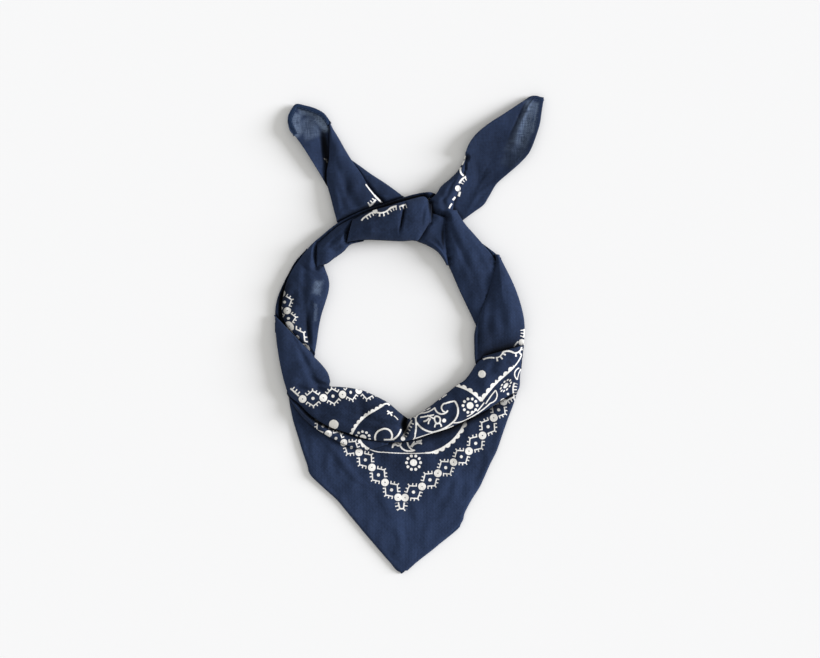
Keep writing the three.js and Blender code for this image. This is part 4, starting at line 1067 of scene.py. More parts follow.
def shade_folds(pieces):
    """Paints the folds into each place's colour: from 1 on a crest, rubbed paler and painted lighter as a
    highlight, to -1 deep in a fold or gap, painted dark as shade; and how far the place is drawn paler
    or darker, as faded dye and as painted shade."""
    whole = np.max([np.maximum(chart, 0) for chart in CHARTS.values()], axis=0)
    broad = whole.copy()
    for _ in range(SPREAD_ROUNDS):
        for axis in (0, 1):
            broad = (broad + np.roll(broad, 1, axis) + np.roll(broad, -1, axis)) / 3
    for piece in pieces:
        mesh = piece.data
        places = np.empty(len(mesh.vertices) * 3)
        mesh.vertices.foreach_get("co", places)
        x, y, z = places.reshape(-1, 3).T / MM
        faded_and_shaded = np.zeros(len(x))
        for middle_x, middle_y, reach, amount in FADED_AND_SHADED:
            faded_and_shaded += amount * np.exp(-((x - middle_x) ** 2 + (y - middle_y) ** 2) / reach**2)
        # A place that stands above the cloth around it is drawn paler, partly as wear and partly as a painted
        # highlight.
        crest = np.clip((z - sampled(broad, x, y)) / CREST_HEIGHT, 0, 1)
        # A place shut in by the cloth around it, or deep in a fold or valley, is painted darker as shade.
        shut = np.maximum(closed_in(x, y, z, whole) - OPEN_SHARE, 0)
        node = piece.name.removeprefix("cotton_")
        folds = fold_depth(FOLDS.get(node, []), x, y)
        valleys = np.minimum(fold_depth(VALLEYS.get(node, []), x, y), DARKEST)
        rubbed_and_shaded = crest * CREST_WEAR_AND_HIGHLIGHT - CLOSED_DARKNESS * shut - FOLD_DARKNESS * folds
        rubbed_and_shaded = np.clip(rubbed_and_shaded - valleys * (1 + np.minimum(rubbed_and_shaded, 0)), -DARKEST, 1)
        faded_and_shaded = np.where(faded_and_shaded > 0, faded_and_shaded * PALER_SHARE, faded_and_shaded)
        mesh.attributes["rubbed_and_shaded"].data.foreach_set("value", rubbed_and_shaded)
        mesh.attributes["faded_and_shaded"].data.foreach_set("value", faded_and_shaded)


def normals_of(grid, around):
    """Unit normals of a grid of points, which is closed across when it goes around."""
    along = np.gradient(grid, axis=0)
    if around:
        across = (np.roll(grid, -1, axis=1) - np.roll(grid, 1, axis=1)) / 2
    else:
        across = np.gradient(grid, axis=1)
    normal = np.cross(along, across)
    return normal / np.maximum(np.linalg.norm(normal, axis=2, keepdims=True), 1e-9)


def shell_mesh(name, outer, inner, places, around):
    """Joins an outer and an inner skin by rims into one closed thin shell."""
    rows, columns = outer.shape[:2]
    count = rows * columns
    cells = columns if around else columns - 1
    index = np.arange(count).reshape(rows, columns)
    index = np.concatenate([index, index[:, :1]], axis=1)[:, : cells + 1]
    if places.shape[1] <= cells:
        places = np.concatenate([places, places[:, -1:]], axis=1)
    along = np.linspace(*BAKE_LENGTH, rows)
    faces, cloth, bake = [], [], []
    for skin, (low, high) in enumerate(BAKE_LANES):
        across = np.linspace(low, high, cells + 1)
        unwrapped = np.stack(np.broadcast_arrays(along[:, None], across[None, :]), axis=-1)
        for grid, result in ((index + skin * count, faces), (places, cloth), (unwrapped, bake)):
            corners = [grid[:-1, :-1], grid[:-1, 1:], grid[1:, 1:], grid[1:, :-1]]
            if skin:
                corners = corners[::-1]
            tail = (4,) if result is faces else (4, 2)
            result.append(np.stack(corners, axis=2).reshape((-1, *tail)))
    rims = [(index[0], places[0]), (index[-1, ::-1], places[-1, ::-1])]
    if not around:
        rims += [(index[::-1, 0], places[::-1, 0]), (index[:, -1], places[:, -1])]
    rim_edges = []
    for line, spots in rims:
        a, b = line[:-1], line[1:]
        faces.append(np.stack([a, a + count, b + count, b], axis=1))
        cloth.append(np.stack([spots[:-1], spots[:-1], spots[1:], spots[1:]], axis=1))
        share = np.linspace(*RIM_LENGTH, len(line))
        low, high = (np.full(len(a), edge) for edge in RIM_LANE)
        ends = [(share[:-1], low), (share[:-1], high), (share[1:], high), (share[1:], low)]
        bake.append(np.stack([np.stack(end, axis=1) for end in ends], axis=1))
        rim_edges.append(np.minimum(a, b) * 2 * count + np.maximum(a, b))
    mesh = bpy.data.meshes.new(name)
    points = np.concatenate([outer.reshape(-1, 3), inner.reshape(-1, 3)]) * MM
    mesh.from_pydata(points.tolist(), [], np.concatenate(faces).tolist())
    for label, corners in (("cloth", cloth), ("OFBake", bake)):
        layer = mesh.uv_layers.new(name=label)
        layer.data.foreach_set("uv", np.concatenate(corners).astype(float).ravel())
    # Painted shade and highlight of the folds, with wear, and broad paler and darker patches, set later for
    # each place.
    mesh.attributes.new("rubbed_and_shaded", "FLOAT", "POINT")
    mesh.attributes.new("faded_and_shaded", "FLOAT", "POINT")
    mesh.polygons.foreach_set("use_smooth", [True] * len(mesh.polygons))
    ends = np.empty(len(mesh.edges) * 2, int)
    mesh.edges.foreach_get("vertices", ends)
    ends = np.sort(ends.reshape(-1, 2), axis=1)
    sharp = mesh.attributes.new("sharp_edge", "BOOLEAN", "EDGE")
    sharp.data.foreach_set("value", np.isin(ends[:, 0] * 2 * count + ends[:, 1], np.concatenate(rim_edges)))
    return mesh


def facing_up(outer, around):
    """True when the grid's normals already point out of the cloth."""
    normal = normals_of(outer, around)
    if around:
        away = outer - outer.mean(axis=1, keepdims=True)
        return (normal * away).sum() > 0
    return normal[..., 2].sum() > 0


def finished(name, outer, places, around, wall):
    """Makes a piece's object from its outer skin, attaches it to the root body and hides the part of the same
    name.
    """
    if not facing_up(outer, around):
        outer, places = outer[::-1], places[::-1]
    inner = outer - normals_of(outer, around) * wall
    inner[..., 2] = np.maximum(inner[..., 2], INNER_CLEAR)
    mesh = shell_mesh(name, outer, inner, places, around)
    piece = bpy.data.objects.new(f"cotton_{name}", mesh)
    bpy.context.scene.collection.objects.link(piece)
    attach(piece, "root")
    if name in frame["nodes"]:
        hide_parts(name)
    return piece


def make_band(name, spec, crumple, wall):
    """A folded or rolled stretch of the cloth."""
    rows, numbers = smoothed(spec["rows"])
    points, places = [], []
    for outer_x, outer_y, inner_x, inner_y, crown in rows[:, :5]:
        width = math.hypot(inner_x - outer_x, inner_y - outer_y)
        share, height, past, crowned = band_section(width, crown, spec["layers"])
        # The print runs on over the edges and under them, as far as the skin does.
        laid = np.where(past < 0, 0.0, np.where(past > 0, 1.0, np.clip(share, 0, 1))) + past / width
        x = outer_x + (inner_x - outer_x) * share
        y = outer_y + (inner_y - outer_y) * share
        points.append(np.stack([x, y, height], axis=1))
        x = outer_x + (inner_x - outer_x) * laid
        y = outer_y + (inner_y - outer_y) * laid
        places.append(np.stack([x, y], axis=1))
    points, places = np.array(points), np.array(places)
    # The creases and crumples fade down the sides.
    fade = crowned[None, :] ** SIDE_FADE
    lowered = crease_depth(spec.get("creases", ()), numbers, share[None, :]) * fade**0.5
    sharper = fold_depth(FOLDS.get(name, []), points[..., 0], points[..., 1])
    lowered += sharper * np.clip(height[None, :] / height.max(), 0, 1)
    points[..., 2] += crumpled(points[..., 0], points[..., 1], crumple) * fade - lowered
    lift = rows[:, 5] if rows.shape[1] > 5 else 0 * rows[:, 0]
    points[..., 2] += spec.get("base", 0) + lift[:, None]
    points[..., 2] = np.maximum(points[..., 2], OUTER_CLEAR)
    ended, marks = with_ends(points, places, spec.get("run", END_RUN))
    ended = tucked(ended, spec)
    CHARTS[name] = chart_of(ended)
    return finished(name, ended, marks, True, wall)


def make_leaf(name, spec, crumple):
    """A single laid layer, or two that lie on each other."""
    rows, numbers = smoothed(spec["rows"])
    width = np.hypot(rows[:, 2] - rows[:, 0], rows[:, 3] - rows[:, 1])
    share = np.linspace(0, 1, spec["across"] + 1)[None, :]
    left_x, left_y, right_x, right_y, lift_left, lift_middle, lift_right, sag = rows.T[..., None]
    x = left_x + (right_x - left_x) * share
    y = left_y + (right_y - left_y) * share - sag * np.sin(np.pi * share) ** SAG_TAPER
    left = lift_left * (1 - share) * (1 - 2 * share)
    middle = lift_middle * 4 * share * (1 - share)
    right = lift_right * share * (2 * share - 1)
    depth = crease_depth(spec.get("creases", ()), numbers, share) + fold_depth(FOLDS.get(name, []), x, y)
    lift = np.maximum(0, left + middle + right - depth)
    from_edge = np.minimum(share, 1 - share) * width[:, None]
    rounding = spec["edge"] * (1 - np.sqrt(1 - np.clip(1 - from_edge / EDGE_ROUND, 0, 1) ** 2))
    rise = crumpled(x, y, crumple * LEAF_CRUMPLE) * np.clip(from_edge / SMOOTH_RIM, 0, 1)
    rise = np.where(rise < 0, rise * HOLLOW_SHARE, rise)
    # A layer that lies right on the table has no room to crumple.
    z = spec["top"] + lift - rounding + rise * (spec["top"] > 1)
    points = tucked(np.stack([x, y, z], axis=2), spec)
    CHARTS[name] = chart_of(points)
    cell = np.cross(np.diff(points, axis=0)[:, :-1], np.diff(points, axis=1)[:-1])
    area = np.linalg.norm(cell, axis=2).sum() * MM * MM
    length = max(np.linalg.norm(np.diff(points[:, side], axis=0), axis=1).sum() for side in (0, -1))
    flat = (round(width.max() * MM, 3), round(length * MM, 3))
    area = min(max(area, LEAST_AREA * flat[0] * flat[1]), flat[0] * flat[1])
    return finished(name, points, points[..., :2].copy(), False, spec["wall"])


def hem_rows(edge, inward, width, height):
    """The rows of a narrow band that follows an edge."""
    rows = []
    for i, (x, y, lift) in enumerate(edge):
        before, after = edge[max(i - 1, 0)], edge[min(i + 1, len(edge) - 1)]
        along = Vector((after[0] - before[0], after[1] - before[1])).normalized()
        across = Vector((-along.y, along.x)) * inward * width
        rows.append([x, y, x + across.x, y + across.y, height, lift])
    return rows


def motif(name, sizes, steps):
    """A node group that gives the distance in millimetres to one inked shape."""
    tree = bpy.data.node_groups.new(name, "ShaderNodeTree")
    tree.interface.new_socket("Place", in_out="INPUT", socket_type="NodeSocketVector")
    for size, value in sizes.items():
        socket = tree.interface.new_socket(size, in_out="INPUT", socket_type="NodeSocketFloat")
        socket.default_value = value
    tree.interface.new_socket("Distance", in_out="OUTPUT", socket_type="NodeSocketFloat")
    entry = add(tree, "NodeGroupInput")
    split = add(tree, "ShaderNodeSeparateXYZ", {"Vector": entry.outputs["Place"]})
    known = {"u": split.outputs["X"], "v": split.outputs["Y"]}
    known.update({size: entry.outputs[size] for size in sizes})
    for result, operation, *terms in steps:
        values = {i: known.get(term, term) for i, term in enumerate(terms)}
        known[result] = add(tree, "ShaderNodeMath", values, operation=operation).outputs[0]
    add(tree, "NodeGroupOutput", {"Distance": known["nearest"]})
    return tree


def motif_groups():
    """The four shapes that the print is made of."""
    stroke = {"Radius": 10, "Half Length": 5, "Half Width": 0.6, "Half Repeat": 2, "Side": 1}
    stroke.update({"Scallop": NO_EDGING, "Half Tick": NO_EDGING})
    return {
        "chain": motif("Chain link with ticks", {}, CHAIN_STEPS),
        "flower": motif("Flower of ten dots", {}, FLOWER_STEPS),
        "dot": motif("Printed dot", {"Radius": 2.8}, DOT_STEPS),
        "stroke": motif("Curved stroke", stroke, STROKE_STEPS),
    }


def circle_through(a, b, c):
    """The middle and radius of the circle through three places."""
    cross = (b[0] - a[0]) * (c[1] - a[1]) - (b[1] - a[1]) * (c[0] - a[0])
    if abs(cross) < NEARLY_STRAIGHT:
        b = (b[0] + (c[1] - a[1]) * SLIGHT_BEND, b[1] - (c[0] - a[0]) * SLIGHT_BEND)
        cross = (b[0] - a[0]) * (c[1] - a[1]) - (b[1] - a[1]) * (c[0] - a[0])
    b2 = (b[0] - a[0]) ** 2 + (b[1] - a[1]) ** 2
    c2 = (c[0] - a[0]) ** 2 + (c[1] - a[1]) ** 2
    x = ((c[1] - a[1]) * b2 - (b[1] - a[1]) * c2) / (2 * cross)
    y = ((b[0] - a[0]) * c2 - (c[0] - a[0]) * b2) / (2 * cross)
    return (a[0] + x, a[1] + y), math.hypot(x, y)


def stroke_item(places, width, edging=0, side=1):
    """A stroke's kind, place, turn, scale and own sizes."""
    x1, y1, x2, y2, x3, y3 = places
    centre, radius = circle_through((x1, y1), (x2, y2), (x3, y3))
    start = math.atan2(y1 - centre[1], x1 - centre[0])
    finish = math.atan2(y3 - centre[1], x3 - centre[0])
    half_turn = ((finish - start + math.pi) % (2 * math.pi) - math.pi) / 2
    scallop, half_repeat = SCALLOPS.get(edging, (NO_EDGING, HALF_TICK_GAP))
    sizes = {
        "Radius": radius,
        "Half Length": abs(half_turn) * radius,
        "Half Width": width / 2,
        "Half Repeat": half_repeat,
        "Scallop": scallop,
        "Half Tick": HALF_TICK if edging == TICKS else NO_EDGING,
        # Left of the way round is towards the middle on an anticlockwise arc.
        "Side": -side if half_turn > 0 else side,
    }
    return "stroke", centre, start + half_turn, (1, 1), sizes


def print_items(chart):
    """Each shape of a piece's print: its kind, place, turn, scale and own sizes."""
    items = []
    for chain in chart.get("chains", ()):
        for (x1, y1), (x2, y2) in zip(chain, chain[1:]):
            pitch = math.dist((x1, y1), (x2, y2)) / (2 * HALF_PITCH)
            turn = math.atan2(y2 - y1, x2 - x1)
            items.append(("chain", ((x1 + x2) / 2, (y1 + y2) / 2), turn, (pitch, 1), {}))
    for x, y, radius in chart.get("dots", ()):
        items.append(("dot", (x, y), 0, (1, 1), {"Radius": radius}))
    for x, y, turn, length, breadth in chart.get("flowers", ()):
        items.append(("flower", (x, y), math.radians(turn), (length, breadth), {}))
    for stroke in chart.get("strokes", ()):
        items.append(stroke_item(stroke[:6], *stroke[6:]))
    return items


def nearest_of(tree, place, items, groups):
    """The distance from each place to the nearest of some shapes."""
    nearest = None
    for kind, (x, y), turn, (length, breadth), sizes in items:
        laid = {"Vector": place, "Location": (x, y, 0), "Rotation": (0, 0, turn)}
        laid["Scale"] = (length, breadth, 1)
        local = add(tree, "ShaderNodeMapping", laid, vector_type="TEXTURE")
        shape = add(tree, "ShaderNodeGroup", node_tree=groups[kind])
        tree.links.new(local.outputs["Vector"], shape.inputs["Place"])
        for size, value in sizes.items():
            shape.inputs[size].default_value = value
        distance = shape.outputs["Distance"]
        if nearest is not None:
            terms = {0: nearest, 1: distance}
            distance = add(tree, "ShaderNodeMath", terms, operation="MINIMUM").outputs[0]
        nearest = distance
    return nearest


def ink_mask(tree, place, chart, groups):
    """How much ink lies on each place, from 0 to 1."""
    # Discharge print creeps a little along the threads, so its edges are uneven by 0.1 mm.
    creep = add(tree, "ShaderNodeTexNoise", {"Vector": place, "Scale": 0.9, "Detail": 3})
    nearest = nearest_of(tree, place, print_items(chart), groups)
    uneven = {0: creep.outputs["Fac"], 1: 0.5, 2: nearest}
    edge = add(tree, "ShaderNodeMath", uneven, operation="MULTIPLY_ADD").outputs[0]
    limits = {"Value": edge, "From Min": INK_EDGE[0], "From Max": INK_EDGE[1], "To Min": 1, "To Max": 0}
    return add(tree, "ShaderNodeMapRange", limits).outputs["Result"]


def new_material(name):
    """An empty material and its node tree."""
    material = bpy.data.materials.new(name)
    material.use_nodes = True
    material.node_tree.nodes.clear()
    return material, material.node_tree


def sheer_share(tree, place, slub, sheer, groups):
    """How far the table shows through one layer, ragged along the slubs."""
    ragged = add(tree, "ShaderNodeMath", {0: slub, 1: SHEER_RAGGED}, operation="MULTIPLY").outputs[0]
    thin = None
    for *places, width, strength in sheer:
        off = nearest_of(tree, place, [stroke_item(places, width)], groups)
        off = add(tree, "ShaderNodeMath", {0: ragged, 1: off}, operation="ADD").outputs[0]
        limits = {"From Min": SHEER_EDGE[0], "From Max": SHEER_EDGE[1], "To Min": strength, "To Max": 0}
        limits["Value"] = off
        patch = add(tree, "ShaderNodeMapRange", limits, interpolation_type="SMOOTHSTEP").outputs["Result"]
        if thin is not None:
            patch = add(tree, "ShaderNodeMath", {0: thin, 1: patch}, operation="MAXIMUM").outputs[0]
        thin = patch
    terms = {0: slub, 1: SHEER_GAPS, 2: 1.0}
    gaps = add(tree, "ShaderNodeMath", terms, operation="MULTIPLY_ADD").outputs[0]
    return add(tree, "ShaderNodeMath", {0: thin, 1: gaps}, operation="MULTIPLY", use_clamp=True).outputs[0]


def cotton(name, dye, colours, thread_pitch, groups, chart=None, sheer=(), grain=BIAS_GRAIN):
    """Plain-woven cotton: matt, soft, with uneven threads both ways. Light catches the fibre ends,
    so it has a faint sheen at grazing angles, and the dye is uneven in broad soft patches."""
    material, tree = new_material(name)
    place = add(tree, "ShaderNodeUVMap", uv_map="cloth").outputs["UV"]
    here = add(tree, "ShaderNodeTexCoord").outputs["Object"]

    # Uneven dye in patches about 20 mm across, and flecks about 2 mm across.
    patches = add(tree, "ShaderNodeTexNoise", {"Vector": here, "Scale": 48, "Detail": 3, "Roughness": 0.6})
    limits = {"From Min": 0.3, "From Max": 0.7, "To Min": PATCH_TONES[0], "To Max": PATCH_TONES[1]}
    limits["Value"] = patches.outputs["Fac"]
    tone = add(tree, "ShaderNodeMapRange", limits).outputs["Result"]
    flecks = add(tree, "ShaderNodeTexNoise", {"Vector": place, "Scale": 0.55, "Detail": 4, "Roughness": 0.75})
    limits = {"From Min": 0.3, "From Max": 0.7, "To Min": -FLECK_TONE, "To Max": FLECK_TONE}
    limits["Value"] = flecks.outputs["Fac"]
    fleck = add(tree, "ShaderNodeMapRange", limits).outputs["Result"]
    tone = add(tree, "ShaderNodeMath", {0: tone, 1: fleck}, operation="ADD").outputs[0]

    # Slubs: thicker stretches of thread about 8 mm long, along both directions of the weave.
    slub = 0.0
    for turn in (grain, grain - math.pi / 2):
        laid = {"Vector": place, "Rotation": (0, 0, turn), "Scale": (8, 0.75, 1)}
        run = add(tree, "ShaderNodeMapping", laid, vector_type="TEXTURE")
        streak = add(tree, "ShaderNodeTexNoise", {"Vector": run.outputs[0], "Scale": 1, "Detail": 3})
        limits = {"From Min": 0.25, "From Max": 0.75, "To Min": -0.5, "To Max": 0.5}
        limits["Value"] = streak.outputs["Fac"]
        spread = add(tree, "ShaderNodeMapRange", limits).outputs["Result"]
        slub = add(tree, "ShaderNodeMath", {0: slub, 1: spread}, operation="ADD").outputs[0]

    # The weave: a checker of soft thread crowns.
    laid = {"Vector": place, "Rotation": (0, 0, grain), "Scale": (thread_pitch / math.pi,) * 3}
    turned = add(tree, "ShaderNodeMapping", laid, vector_type="TEXTURE")
    threads = add(tree, "ShaderNodeSeparateXYZ", {"Vector": turned.outputs[0]})
    warp = add(tree, "ShaderNodeMath", {0: threads.outputs["X"]}, operation="SINE").outputs[0]
    weft = add(tree, "ShaderNodeMath", {0: threads.outputs["Y"]}, operation="SINE").outputs[0]
    weave = add(tree, "ShaderNodeMath", {0: warp, 1: weft}, operation="MULTIPLY").outputs[0]

    # Wear and painted light: crests are rubbed paler and painted lighter as a highlight, and the folds
    # and gaps are painted dark as shade.
    rubbed_and_shaded = add(tree, "ShaderNodeAttribute", attribute_name="rubbed_and_shaded").outputs["Fac"]
    rubbed_and_highlit = add(tree, "ShaderNodeMath", {0: rubbed_and_shaded, 1: 0.0}, operation="MAXIMUM").outputs[0]
    for cause, strength in ((rubbed_and_highlit, RUBBED_AND_HIGHLIT_TONE), (slub, SLUB_TONE), (weave, WEAVE_TONE)):
        terms = {0: cause, 1: strength, 2: tone}
        tone = add(tree, "ShaderNodeMath", terms, operation="MULTIPLY_ADD").outputs[0]
    # Broad patches: paler where the dye has faded, and darker partly as painted shade.
    faded_and_shaded = add(tree, "ShaderNodeAttribute", attribute_name="faded_and_shaded").outputs["Fac"]
    tone = add(tree, "ShaderNodeMath", {0: tone, 1: faded_and_shaded}, operation="ADD").outputs[0]
    # Painted shade: the colour is darkened where the cloth is shut in, folded or in a valley.
    deep = add(tree, "ShaderNodeMath", {0: rubbed_and_shaded, 1: 1.0}, operation="ADD", use_clamp=True).outputs[0]

    colour = tuple(dye[:3])
    if sheer:
        thin = sheer_share(tree, place, slub, sheer, groups)
        mixed = {"Factor": thin, 6: dye, 7: tuple(colours.sheer)}
        colour = add(tree, "ShaderNodeMix", mixed, data_type="RGBA").outputs[2]
    dyed = add(tree, "ShaderNodeVectorMath", {0: colour, "Scale": tone}, operation="SCALE")
    colour = dyed.outputs["Vector"]
    if chart:
        mask = ink_mask(tree, place, chart, groups)
        # The ink sits in the threads, so the weave dims it a little.
        dimmed = add(tree, "ShaderNodeMath", {0: slub, 1: 0.1, 2: 0.98}, operation="MULTIPLY_ADD")
        terms = {0: mask, 1: dimmed.outputs[0]}
        cover = add(tree, "ShaderNodeMath", terms, operation="MULTIPLY", use_clamp=True).outputs[0]
        mixed = {"Factor": cover, 6: colour, 7: tuple(colours.ink)}
        colour = add(tree, "ShaderNodeMix", mixed, data_type="RGBA").outputs[2]
    # The painted shade darkens the dye and the ink alike.
    shaded = add(tree, "ShaderNodeVectorMath", {0: colour, "Scale": deep}, operation="SCALE")

    limits = {"Value": fleck, "From Min": -FLECK_TONE, "From Max": FLECK_TONE, "To Min": 0.86, "To Max": 0.96}
    rough = add(tree, "ShaderNodeMapRange", limits)
    crumple = add(tree, "ShaderNodeTexNoise", {"Vector": here, "Scale": 240, "Detail": 3}).outputs["Fac"]
    height = 0.0
    for cause, rise in ((weave, WEAVE_HEIGHT), (slub, SLUB_HEIGHT), (crumple, CRUMPLE_HEIGHT)):
        terms = {0: cause, 1: rise, 2: height}
        height = add(tree, "ShaderNodeMath", terms, operation="MULTIPLY_ADD").outputs[0]
    bump = add(tree, "ShaderNodeBump", {"Height": height, "Distance": MM, "Strength": 1.0})
    finish = {
        "Base Color": shaded.outputs["Vector"],
        "Roughness": rough.outputs["Result"],
        "Specular IOR Level": 0.12,
        "Sheen Weight": 0.035,
        "Sheen Roughness": 0.5,
        "Sheen Tint": (0.6, 0.7, 0.9, 1),
        "Normal": bump.outputs["Normal"],
    }
    surface = add(tree, "ShaderNodeBsdfPrincipled", finish)
    add(tree, "ShaderNodeOutputMaterial", {"Surface": surface.outputs["BSDF"]})
    return material


def painted_floor(colour):
    """Smooth matt paint, as even as paper, so that only the soft shadows show on it."""
    material, tree = new_material("Matt painted board")
    here = add(tree, "ShaderNodeTexCoord").outputs["Object"]
    grain = add(tree, "ShaderNodeTexNoise", {"Vector": here, "Scale": 900, "Detail": 2}).outputs["Fac"]
    rough = add(tree, "ShaderNodeMapRange", {"Value": grain, "To Min": 0.85, "To Max": 0.95})
    finish = {"Base Color": colour, "Roughness": rough.outputs["Result"], "Specular IOR Level": 0.1}
    surface = add(tree, "ShaderNodeBsdfPrincipled", finish)
    add(tree, "ShaderNodeOutputMaterial", {"Surface": surface.outputs["BSDF"]})
    return material


def thread_material(colour):
    """Spun cotton sewing thread: twisted plies, matt, a shade off the cloth."""
    material, tree = new_material("Spun cotton thread")
    here = add(tree, "ShaderNodeTexCoord").outputs["Object"]
    plies = add(tree, "ShaderNodeTexNoise", {"Vector": here, "Scale": 1500, "Detail": 2}).outputs["Fac"]
    limits = {"Value": plies, "From Min": 0.3, "From Max": 0.7, "To Min": 0.8, "To Max": 1.25}
    tone = add(tree, "ShaderNodeMapRange", limits).outputs["Result"]
    dyed = add(tree, "ShaderNodeVectorMath", {0: colour[:3], "Scale": tone}, operation="SCALE")
    finish = {"Base Color": dyed.outputs["Vector"], "Roughness": 0.8, "Specular IOR Level": 0.35}
    surface = add(tree, "ShaderNodeBsdfPrincipled", finish)
    add(tree, "ShaderNodeOutputMaterial", {"Surface": surface.outputs["BSDF"]})
    return material


def stitch_tree():
    """Geometry nodes that lay a row of stitches along a line."""
    tree = bpy.data.node_groups.new("Hem stitches", "GeometryNodeTree")
    sockets = [
        ("Line", "NodeSocketGeometry"),
        ("Pitch", "NodeSocketFloat"),
        ("Stitch Length", "NodeSocketFloat"),
        ("Thread Radius", "NodeSocketFloat"),
        ("Thread", "NodeSocketMaterial"),
    ]
    for name, kind in sockets:
        tree.interface.new_socket(name, in_out="INPUT", socket_type=kind)
    tree.interface.new_socket("Stitches", in_out="OUTPUT", socket_type="NodeSocketGeometry")
    entry = add(tree, "NodeGroupInput").outputs
    curve = add(tree, "GeometryNodeMeshToCurve", {"Mesh": entry["Line"]})
    spaced = {"Curve": curve.outputs["Curve"], "Length": entry["Pitch"]}
    points = add(tree, "GeometryNodeCurveToPoints", spaced, mode="LENGTH")
    bar = {"Vertices": 6, "Side Segments": 3}
    bar.update({"Radius": entry["Thread Radius"], "Depth": entry["Stitch Length"]})
    stitch = add(tree, "GeometryNodeMeshCylinder", bar, fill_type="TRIANGLE_FAN")
    turned = add(tree, "FunctionNodeAlignRotationToVector", {"Vector": points.outputs["Tangent"]}, axis="Z")
    laid = {
        "Points": points.outputs["Points"],
        "Instance": stitch.outputs["Mesh"],
        "Rotation": turned.outputs["Rotation"],
    }
    row = add(tree, "GeometryNodeInstanceOnPoints", laid)
    solid = add(tree, "GeometryNodeRealizeInstances", {"Geometry": row.outputs["Instances"]})
    coloured = {"Geometry": solid.outputs["Geometry"], "Material": entry["Thread"]}
    finish = add(tree, "GeometryNodeSetMaterial", coloured)
    add(tree, "NodeGroupOutput", {"Stitches": finish.outputs["Geometry"]})
    return tree


def lay_stitches(name, line, tree, sizes, thread):
    """A row of stitches along a line, as its own plain mesh."""
    mesh = bpy.data.meshes.new(f"{name}_line")
    mesh.from_pydata([tuple(v * MM for v in p) for p in line], [(i, i + 1) for i in range(len(line) - 1)], [])
    holder = bpy.data.objects.new(f"{name}_line", mesh)
    bpy.context.scene.collection.objects.link(holder)
    modifier = holder.modifiers.new("Stitches", "NODES")
    modifier.node_group = tree
    values = {
        "Pitch": sizes.stitch_pitch,
        "Stitch Length": sizes.stitch_length,
        "Thread Radius": THREAD_RADIUS * MM,
        "Thread": thread,
    }
    for item in tree.interface.items_tree:
        if item.in_out == "INPUT" and item.name in values:
            modifier[item.identifier] = values[item.name]
    graph = bpy.context.evaluated_depsgraph_get()
    made = bpy.data.meshes.new_from_object(holder.evaluated_get(graph))
    made.name = name
    holder.modifiers.remove(modifier)
    bpy.data.objects.remove(holder)
    if not made.polygons:
        raise RuntimeError(f"{name} has no stitches")
    piece = bpy.data.objects.new(name, made)
    bpy.context.scene.collection.objects.link(piece)
    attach(piece, "root")
    return piece


def dress(piece, material):
    """Gives a piece its one material."""
    piece.data.materials.clear()
    piece.data.materials.append(material)


def dress_in_cotton(piece, node, dye, context, groups):
    """Gives a piece the cotton with its own print, sheer places and grain."""
    colours = context.scene.bandana_colours
    thread_pitch = context.scene.bandana_sizes.thread_pitch / MM
    chart = PRINTS.get(node)
    label = f"Printed navy cotton {node}" if chart else f"Navy cotton {node}"
    grain = STRAIGHT_GRAIN if "tail" in node else BIAS_GRAIN
    sheer = SHEER_PLACES.get(node, ())
    dress(piece, cotton(label, tuple(dye), colours, thread_pitch, groups, chart, sheer, grain))


class BANDANA_OT_bands(bpy.types.Operator):
    """Make the rolled and folded stretches, the knot and the tails' folds"""

    bl_idname = "bandana.bands"
    bl_label = "Bands and knot"

    def execute(self, context):
        sizes = context.scene.bandana_sizes
        colours = context.scene.bandana_colours
        groups = motif_groups()
        for name, spec in BANDS.items():
            hemmed = name.endswith("hem")
            piece = make_band(name, spec, sizes.crumple / MM, sizes.wall / MM)
            dress_in_cotton(piece, name, colours.hem if hemmed else colours.navy, context, groups)
        return {"FINISHED"}


class BANDANA_OT_leaves(bpy.types.Operator):
    """Make the point's two layers and the ends of the tails"""

    bl_idname = "bandana.leaves"
    bl_label = "Point and tails"

    def execute(self, context):
        groups = motif_groups()
        for name, spec in LEAVES.items():
            piece = make_leaf(name, spec, context.scene.bandana_sizes.crumple / MM)
            dress_in_cotton(piece, name, context.scene.bandana_colours.navy, context, groups)
        return {"FINISHED"}


class BANDANA_OT_hems(bpy.types.Operator):
    """Turn and stitch the hems"""

    bl_idname = "bandana.hems"
    bl_label = "Hems and stitches"

    def execute(self, context):
        sizes = context.scene.bandana_sizes
        colours = context.scene.bandana_colours
        thread_pitch = sizes.thread_pitch / MM
        hem_cloth = cotton("Hemmed navy cotton", tuple(colours.hem), colours, thread_pitch, {})
        thread = thread_material(tuple(colours.thread))
        tree = stitch_tree()
        for name, spec in {**HEMS, "right_tail_corner": TAIL_CORNER}.items():
            rows = hem_rows(spec["edge"], spec["inward"], sizes.hem_width / MM, spec["height"])
            groove = [-1, len(rows), SEAM_SHARE, SEAM_SHARE, SEAM_GROOVE, SEAM_HALF_WIDTH]
            band = {"layers": 2, "rows": rows, "creases": [groove], "run": HEM_END_RUN}
            band["under"] = spec.get("under", ())
            piece = make_band(name, band, HEM_CRUMPLE, HEM_WALL)
            dress(piece, hem_cloth)
            line = []
            for x1, y1, x2, y2, height, lift in smoothed(rows)[0][2:-2]:
                top = lift + height * SEAM_HEIGHT + THREAD_LIFT
                line.append((x1 + (x2 - x1) * SEAM_SHARE, y1 + (y2 - y1) * SEAM_SHARE, top))
            lay_stitches(f"{name}_stitches", line, tree, sizes, thread)
        return {"FINISHED"}


class BANDANA_OT_shade_and_wear(bpy.types.Operator):
    """Paint the folds' shade and wear: crests paler as a highlight, valleys dark as shade"""

    bl_idname = "bandana.wear"
    bl_label = "Painted shade and wear of the folds"

    def execute(self, context):
        pieces = [piece for piece in context.scene.objects if piece.name.startswith("cotton_")]
        if not pieces:
            raise RuntimeError("there is no cloth to shade and wear")
        shade_folds(pieces)
        return {"FINISHED"}


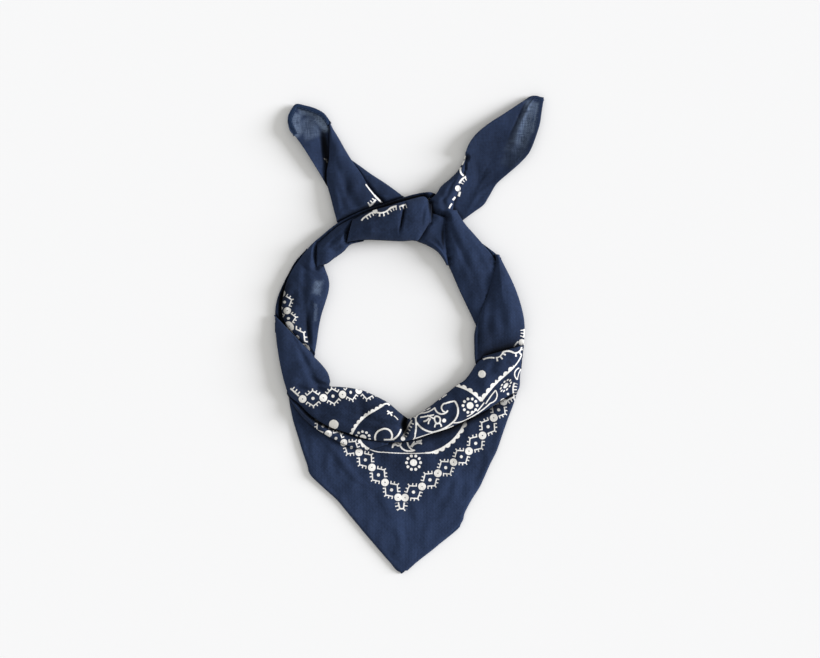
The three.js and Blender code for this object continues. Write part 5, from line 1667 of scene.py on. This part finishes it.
class BANDANA_OT_stage(bpy.types.Operator):
    """Set the floor, the camera and the soft light"""

    bl_idname = "bandana.stage"
    bl_label = "Floor, camera and light"

    def execute(self, context):
        colours = context.scene.bandana_colours
        scene = context.scene
        mesh = bpy.data.meshes.new("floor")
        turns = ((-1, -1), (1, -1), (1, 1), (-1, 1))
        corners = [(x * FLOOR_HALF, y * FLOOR_HALF, FLOOR_HEIGHT) for x, y in turns]
        mesh.from_pydata(corners, [], [(0, 1, 2, 3)])
        floor = bpy.data.objects.new("floor", mesh)
        scene.collection.objects.link(floor)
        dress(floor, painted_floor(tuple(colours.floor)))

        lens = bpy.data.cameras.new("camera")
        lens.sensor_width = SENSOR_WIDTH
        lens.lens = FOCAL_LENGTH
        camera = bpy.data.objects.new("camera", lens)
        camera.location = CAMERA_PLACE
        scene.collection.objects.link(camera)
        scene.camera = camera

        light = bpy.data.lights.new("window_light", "SUN")
        light.energy = colours.key_light
        light.angle = LIGHT_SPREAD
        light.color = LIGHT_COLOUR
        lamp = bpy.data.objects.new("window_light", light)
        lamp.rotation_euler = Vector(LIGHT_FROM).to_track_quat("Z", "Y").to_euler()
        scene.collection.objects.link(lamp)

        world = bpy.data.worlds.new("even_light")
        world.use_nodes = True
        background = world.node_tree.nodes["Background"]
        background.inputs["Color"].default_value = SKY_COLOUR
        background.inputs["Strength"].default_value = colours.sky
        scene.world = world
        scene.view_settings.view_transform = "Standard"
        return {"FINISHED"}


class BANDANA_PT_panel(bpy.types.Panel):
    """The bandana's sizes, colours and steps"""

    bl_idname = "BANDANA_PT_panel"
    bl_label = "Bandana"
    bl_space_type = "VIEW_3D"
    bl_region_type = "UI"
    bl_category = "Bandana"

    def draw(self, context):
        for group in (context.scene.bandana_sizes, context.scene.bandana_colours):
            for name in group.__annotations__:
                self.layout.prop(group, name)
        for operator in OPERATORS:
            self.layout.operator(operator.bl_idname)


OPERATORS = (BANDANA_OT_stage, BANDANA_OT_bands, BANDANA_OT_leaves, BANDANA_OT_hems, BANDANA_OT_shade_and_wear)
CLASSES = (BandanaSizes, BandanaColours, *OPERATORS, BANDANA_PT_panel)


def register():
    for cls in CLASSES:
        bpy.utils.register_class(cls)
    bpy.types.Scene.bandana_sizes = bpy.props.PointerProperty(type=BandanaSizes)
    bpy.types.Scene.bandana_colours = bpy.props.PointerProperty(type=BandanaColours)


def unregister():
    del bpy.types.Scene.bandana_colours
    del bpy.types.Scene.bandana_sizes
    for cls in reversed(CLASSES):
        bpy.utils.unregister_class(cls)


def main():
    register()
    bpy.ops.bandana.stage()
    bpy.ops.bandana.bands()
    bpy.ops.bandana.leaves()
    bpy.ops.bandana.hems()
    bpy.ops.bandana.wear()


if __name__ == "__main__":
    main()
